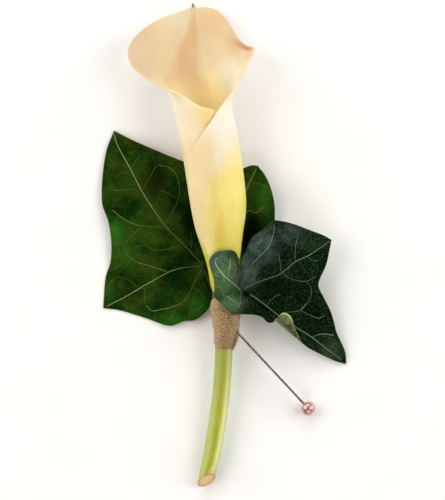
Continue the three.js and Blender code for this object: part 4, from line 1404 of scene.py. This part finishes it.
def makeTape(material):
    bm = bmesh.new()
    closed = tape["closedShare"]

    def skinPoint(u, v):
        turn = 2 * math.pi * u
        y = lerp(tapeBottomY, tapeTopY, clamp((v - closed) / (1 - 2 * closed)))
        x, z, radius = stationAt(tapeLine, y)
        lap = (y - tapeBottomY) / tape["lapHeight"] + u
        inLap = lap - math.floor(lap)
        stands = smoothStep(inLap, 0.0, tape["lapEdge"]) * (1 - inLap)
        radius += tape["lapRelief"] * (stands - 0.5)
        around = Vector((math.sin(turn) * 3, math.cos(turn) * 3, y * 0.35))
        radius += tape["unevenness"] * noise.noise(around) + tape["crinkle"] * noise.noise(around * 5)
        radius *= clamp(min(v, 1 - v) / closed)
        point = onRound(x, y, z, radius, turn)
        along = (point - pinEntry).dot(pinDirection)
        onPin = pinEntry + pinDirection * along
        aside = math.hypot(point.x - onPin.x, point.y - onPin.y)
        hole = bell(aside, tape["slotWidth"])
        hole *= smoothStep(along, tape["slotEnd"], tape["slotEnd"] - tape["slotFade"])
        point.z = min(point.z, lerp(point.z, onPin.z - tape["slotDepth"], hole))
        return point, (turn, y, inLap, hole)

    mappedGrid(bm, tape["columns"], tape["rows"], skinPoint, tapeMarks)
    makeShell(bm, "floralTape", [material], "floral_tape", ["stem_wrap"])


def makeTapeEnd(material):
    bm = bmesh.new()
    startTurn, topTurn, bottomTurn = tape["endTurns"]

    def stripPoint(u, v):
        wander = tape["endWander"] * noise.noise(Vector((u * 4, v * 2, 7)))
        y = lerp(tape["endTopY"], tapeBottomY - tape["endBelow"], u)
        y += tape["endSlant"] * v * (1 - u) + wander
        degrees = lerp(startTurn, lerp(topTurn, bottomTurn, u), v) + tape["endTurnWander"] * wander
        turn = math.radians(degrees)
        x, z, radius = stationAt(tapeLine, y)
        radius += tape["endGap"] + tape["endLift"] * v ** 3 + wander
        return onRound(x, y, z, radius, turn), (turn, y, 0.5, 0.0)

    mappedGrid(bm, tape["endColumns"], tape["endRows"], stripPoint, tapeMarks)
    middle = place(tape["endMiddle"])
    makeSheet(
        bm, lambda point: point - middle, tape["endThickness"], tape["endRimWidth"],
        "floralTapeLooseEnd", [material], "floral_tape",
    )


def tapeMaterial():
    # Floral tape: waxed crepe paper, stretched as it is wound. Its fibres run slantwise, it is
    # mottled in specks of 0.3 mm where the stretch opened it, and the wax leaves a dull shine.
    material, tree, shader, flat = newMaterial("floralTapeWaxedCrepe", Roughness=0.7)
    slant = addNode(tree, "Math", {0: "turn", 1: 0.83, 2: "height"}, operation="MULTIPLY_ADD")
    threads = addNode(tree, "CombineXYZ", {"X": slant, "Y": "turn"})
    stretch = addNode(tree, "VectorMath", {0: threads, 1: (3.0, 2.2, 1.0)}, operation="MULTIPLY")
    fibres = addNode(tree, "TexNoise", {"Vector": stretch, "Scale": 1.4, "Detail": 3.0})
    speckle = addNode(tree, "TexNoise", {"Vector": flat, "Scale": 3.6, "Detail": 3.0, "Roughness": 0.7})
    tones = addNode(tree, "ValToRGB", {"Fac": speckle}, [
        (0.34, "#38260b"), (0.45, "#755428"), (0.54, "#9a7441"), (0.65, "#e6d0aa"),
    ])
    color = tinted(tree, tones, [
        # Painted light and shade: lighter round the upper left, greyer round the upper right.
        ("turn", 3.2, 4.3, 0.5, "#c6a47c"), ("turn", 2.9, 2.2, 0.4, "#a48b70"),
        (fibres, 0.5, 0.8, 0.4, "#c7a674"), ("inLap", 0.05, 0.0, 0.35, "#57401f"),
        # Painted shade: near black in the pin's slot.
        ("hole", 0.1, 0.8, 0.95, "#140d06"),
    ])
    relief = addNode(tree, "Math", {0: fibres, 1: speckle}, operation="ADD")
    dress(tree, shader, color, relief, 0.16)
    return material


waxedCrepe = tapeMaterial()
makeTape(waxedCrepe)
makeTapeEnd(waxedCrepe)
print("tape made")


# Pin and pearl head.
pin = {
    "radius": 0.35,
    "length": 38.0,
    "tipLength": 3.0,
    "tipShape": 0.8,
    "rings": 60,
    "sides": 20,
}
pearl = {
    "columns": 64,
    "rows": 40,
    "unevenness": 0.008,
    "dimple": 0.28,
    "dimpleWidth": 0.55,
}


def makePin(material):
    bm = bmesh.new()
    rings = pin["rings"]
    path = [pearlCentre + pinDirection * (pin["length"] * i / rings) for i in range(rings + 1)]

    def radiusAt(u):
        fromTip = (1 - u) * pin["length"]
        return pin["radius"] * clamp(fromTip / pin["tipLength"]) ** pin["tipShape"] if u > 0 else 0.0

    tubeAlong(bm, path, radiusAt, pin["sides"])
    makeShell(bm, "pinShaft", [material], "pin_steel", ["pin_shaft"])


# The bead is drilled: its skin dips where the pin goes in.
def makePearl(material):
    bm = bmesh.new()
    bmesh.ops.create_uvsphere(bm, u_segments=pearl["columns"], v_segments=pearl["rows"], radius=pearlRadius)
    towards = Vector((0, 0, 1)).rotation_difference(pinDirection).to_matrix()
    for vertex in bm.verts:
        fromHole = math.hypot(vertex.co.x, vertex.co.y)
        dimple = pearl["dimple"] * bell(fromHole, pearl["dimpleWidth"]) if vertex.co.z > 0 else 0.0
        vertex.co *= 1 + pearl["unevenness"] * noise.noise(vertex.co * 0.8)
        vertex.co.z -= dimple
        vertex.co = place(towards @ vertex.co + pearlCentre)
    makeShell(bm, "pinPearl", [material], "pearl", ["pin_pearl"])


def steelMaterial():
    # Drawn steel wire, nickel plated: dark grey and mirror-like, a little clouded by handling.
    material, tree, shader, flat = newMaterial("pinDrawnSteel", Metallic=1.0, Roughness=0.24)
    clouds = addNode(tree, "TexNoise", {"Vector": flat, "Scale": 1.8})
    color = tinted(tree, "#4a4645", [(clouds, 0.35, 0.65, 1.0, "#7d7a78")])
    dress(tree, shader, color, clouds, 0.01)
    return material


def pearlMaterial():
    # Dipped pearl coat on a round bead: rose body colour under a clear, glassy, pearly film.
    material, tree, shader, flat = newMaterial(
        "pearlDippedRoseCoat", Metallic=0.65, Roughness=0.3, Coat_Weight=0.7, Coat_Roughness=0.04,
        Coat_IOR=1.6,
    )
    swirl = addNode(tree, "TexNoise", {"Vector": flat, "Scale": 0.6})
    color = tinted(tree, "#c48e8a", [(swirl, 0.35, 0.7, 1.0, "#ddb3ae")])
    dress(tree, shader, color, swirl, 0.02)
    return material


makePin(steelMaterial())
makePearl(pearlMaterial())
print("pin and pearl made")
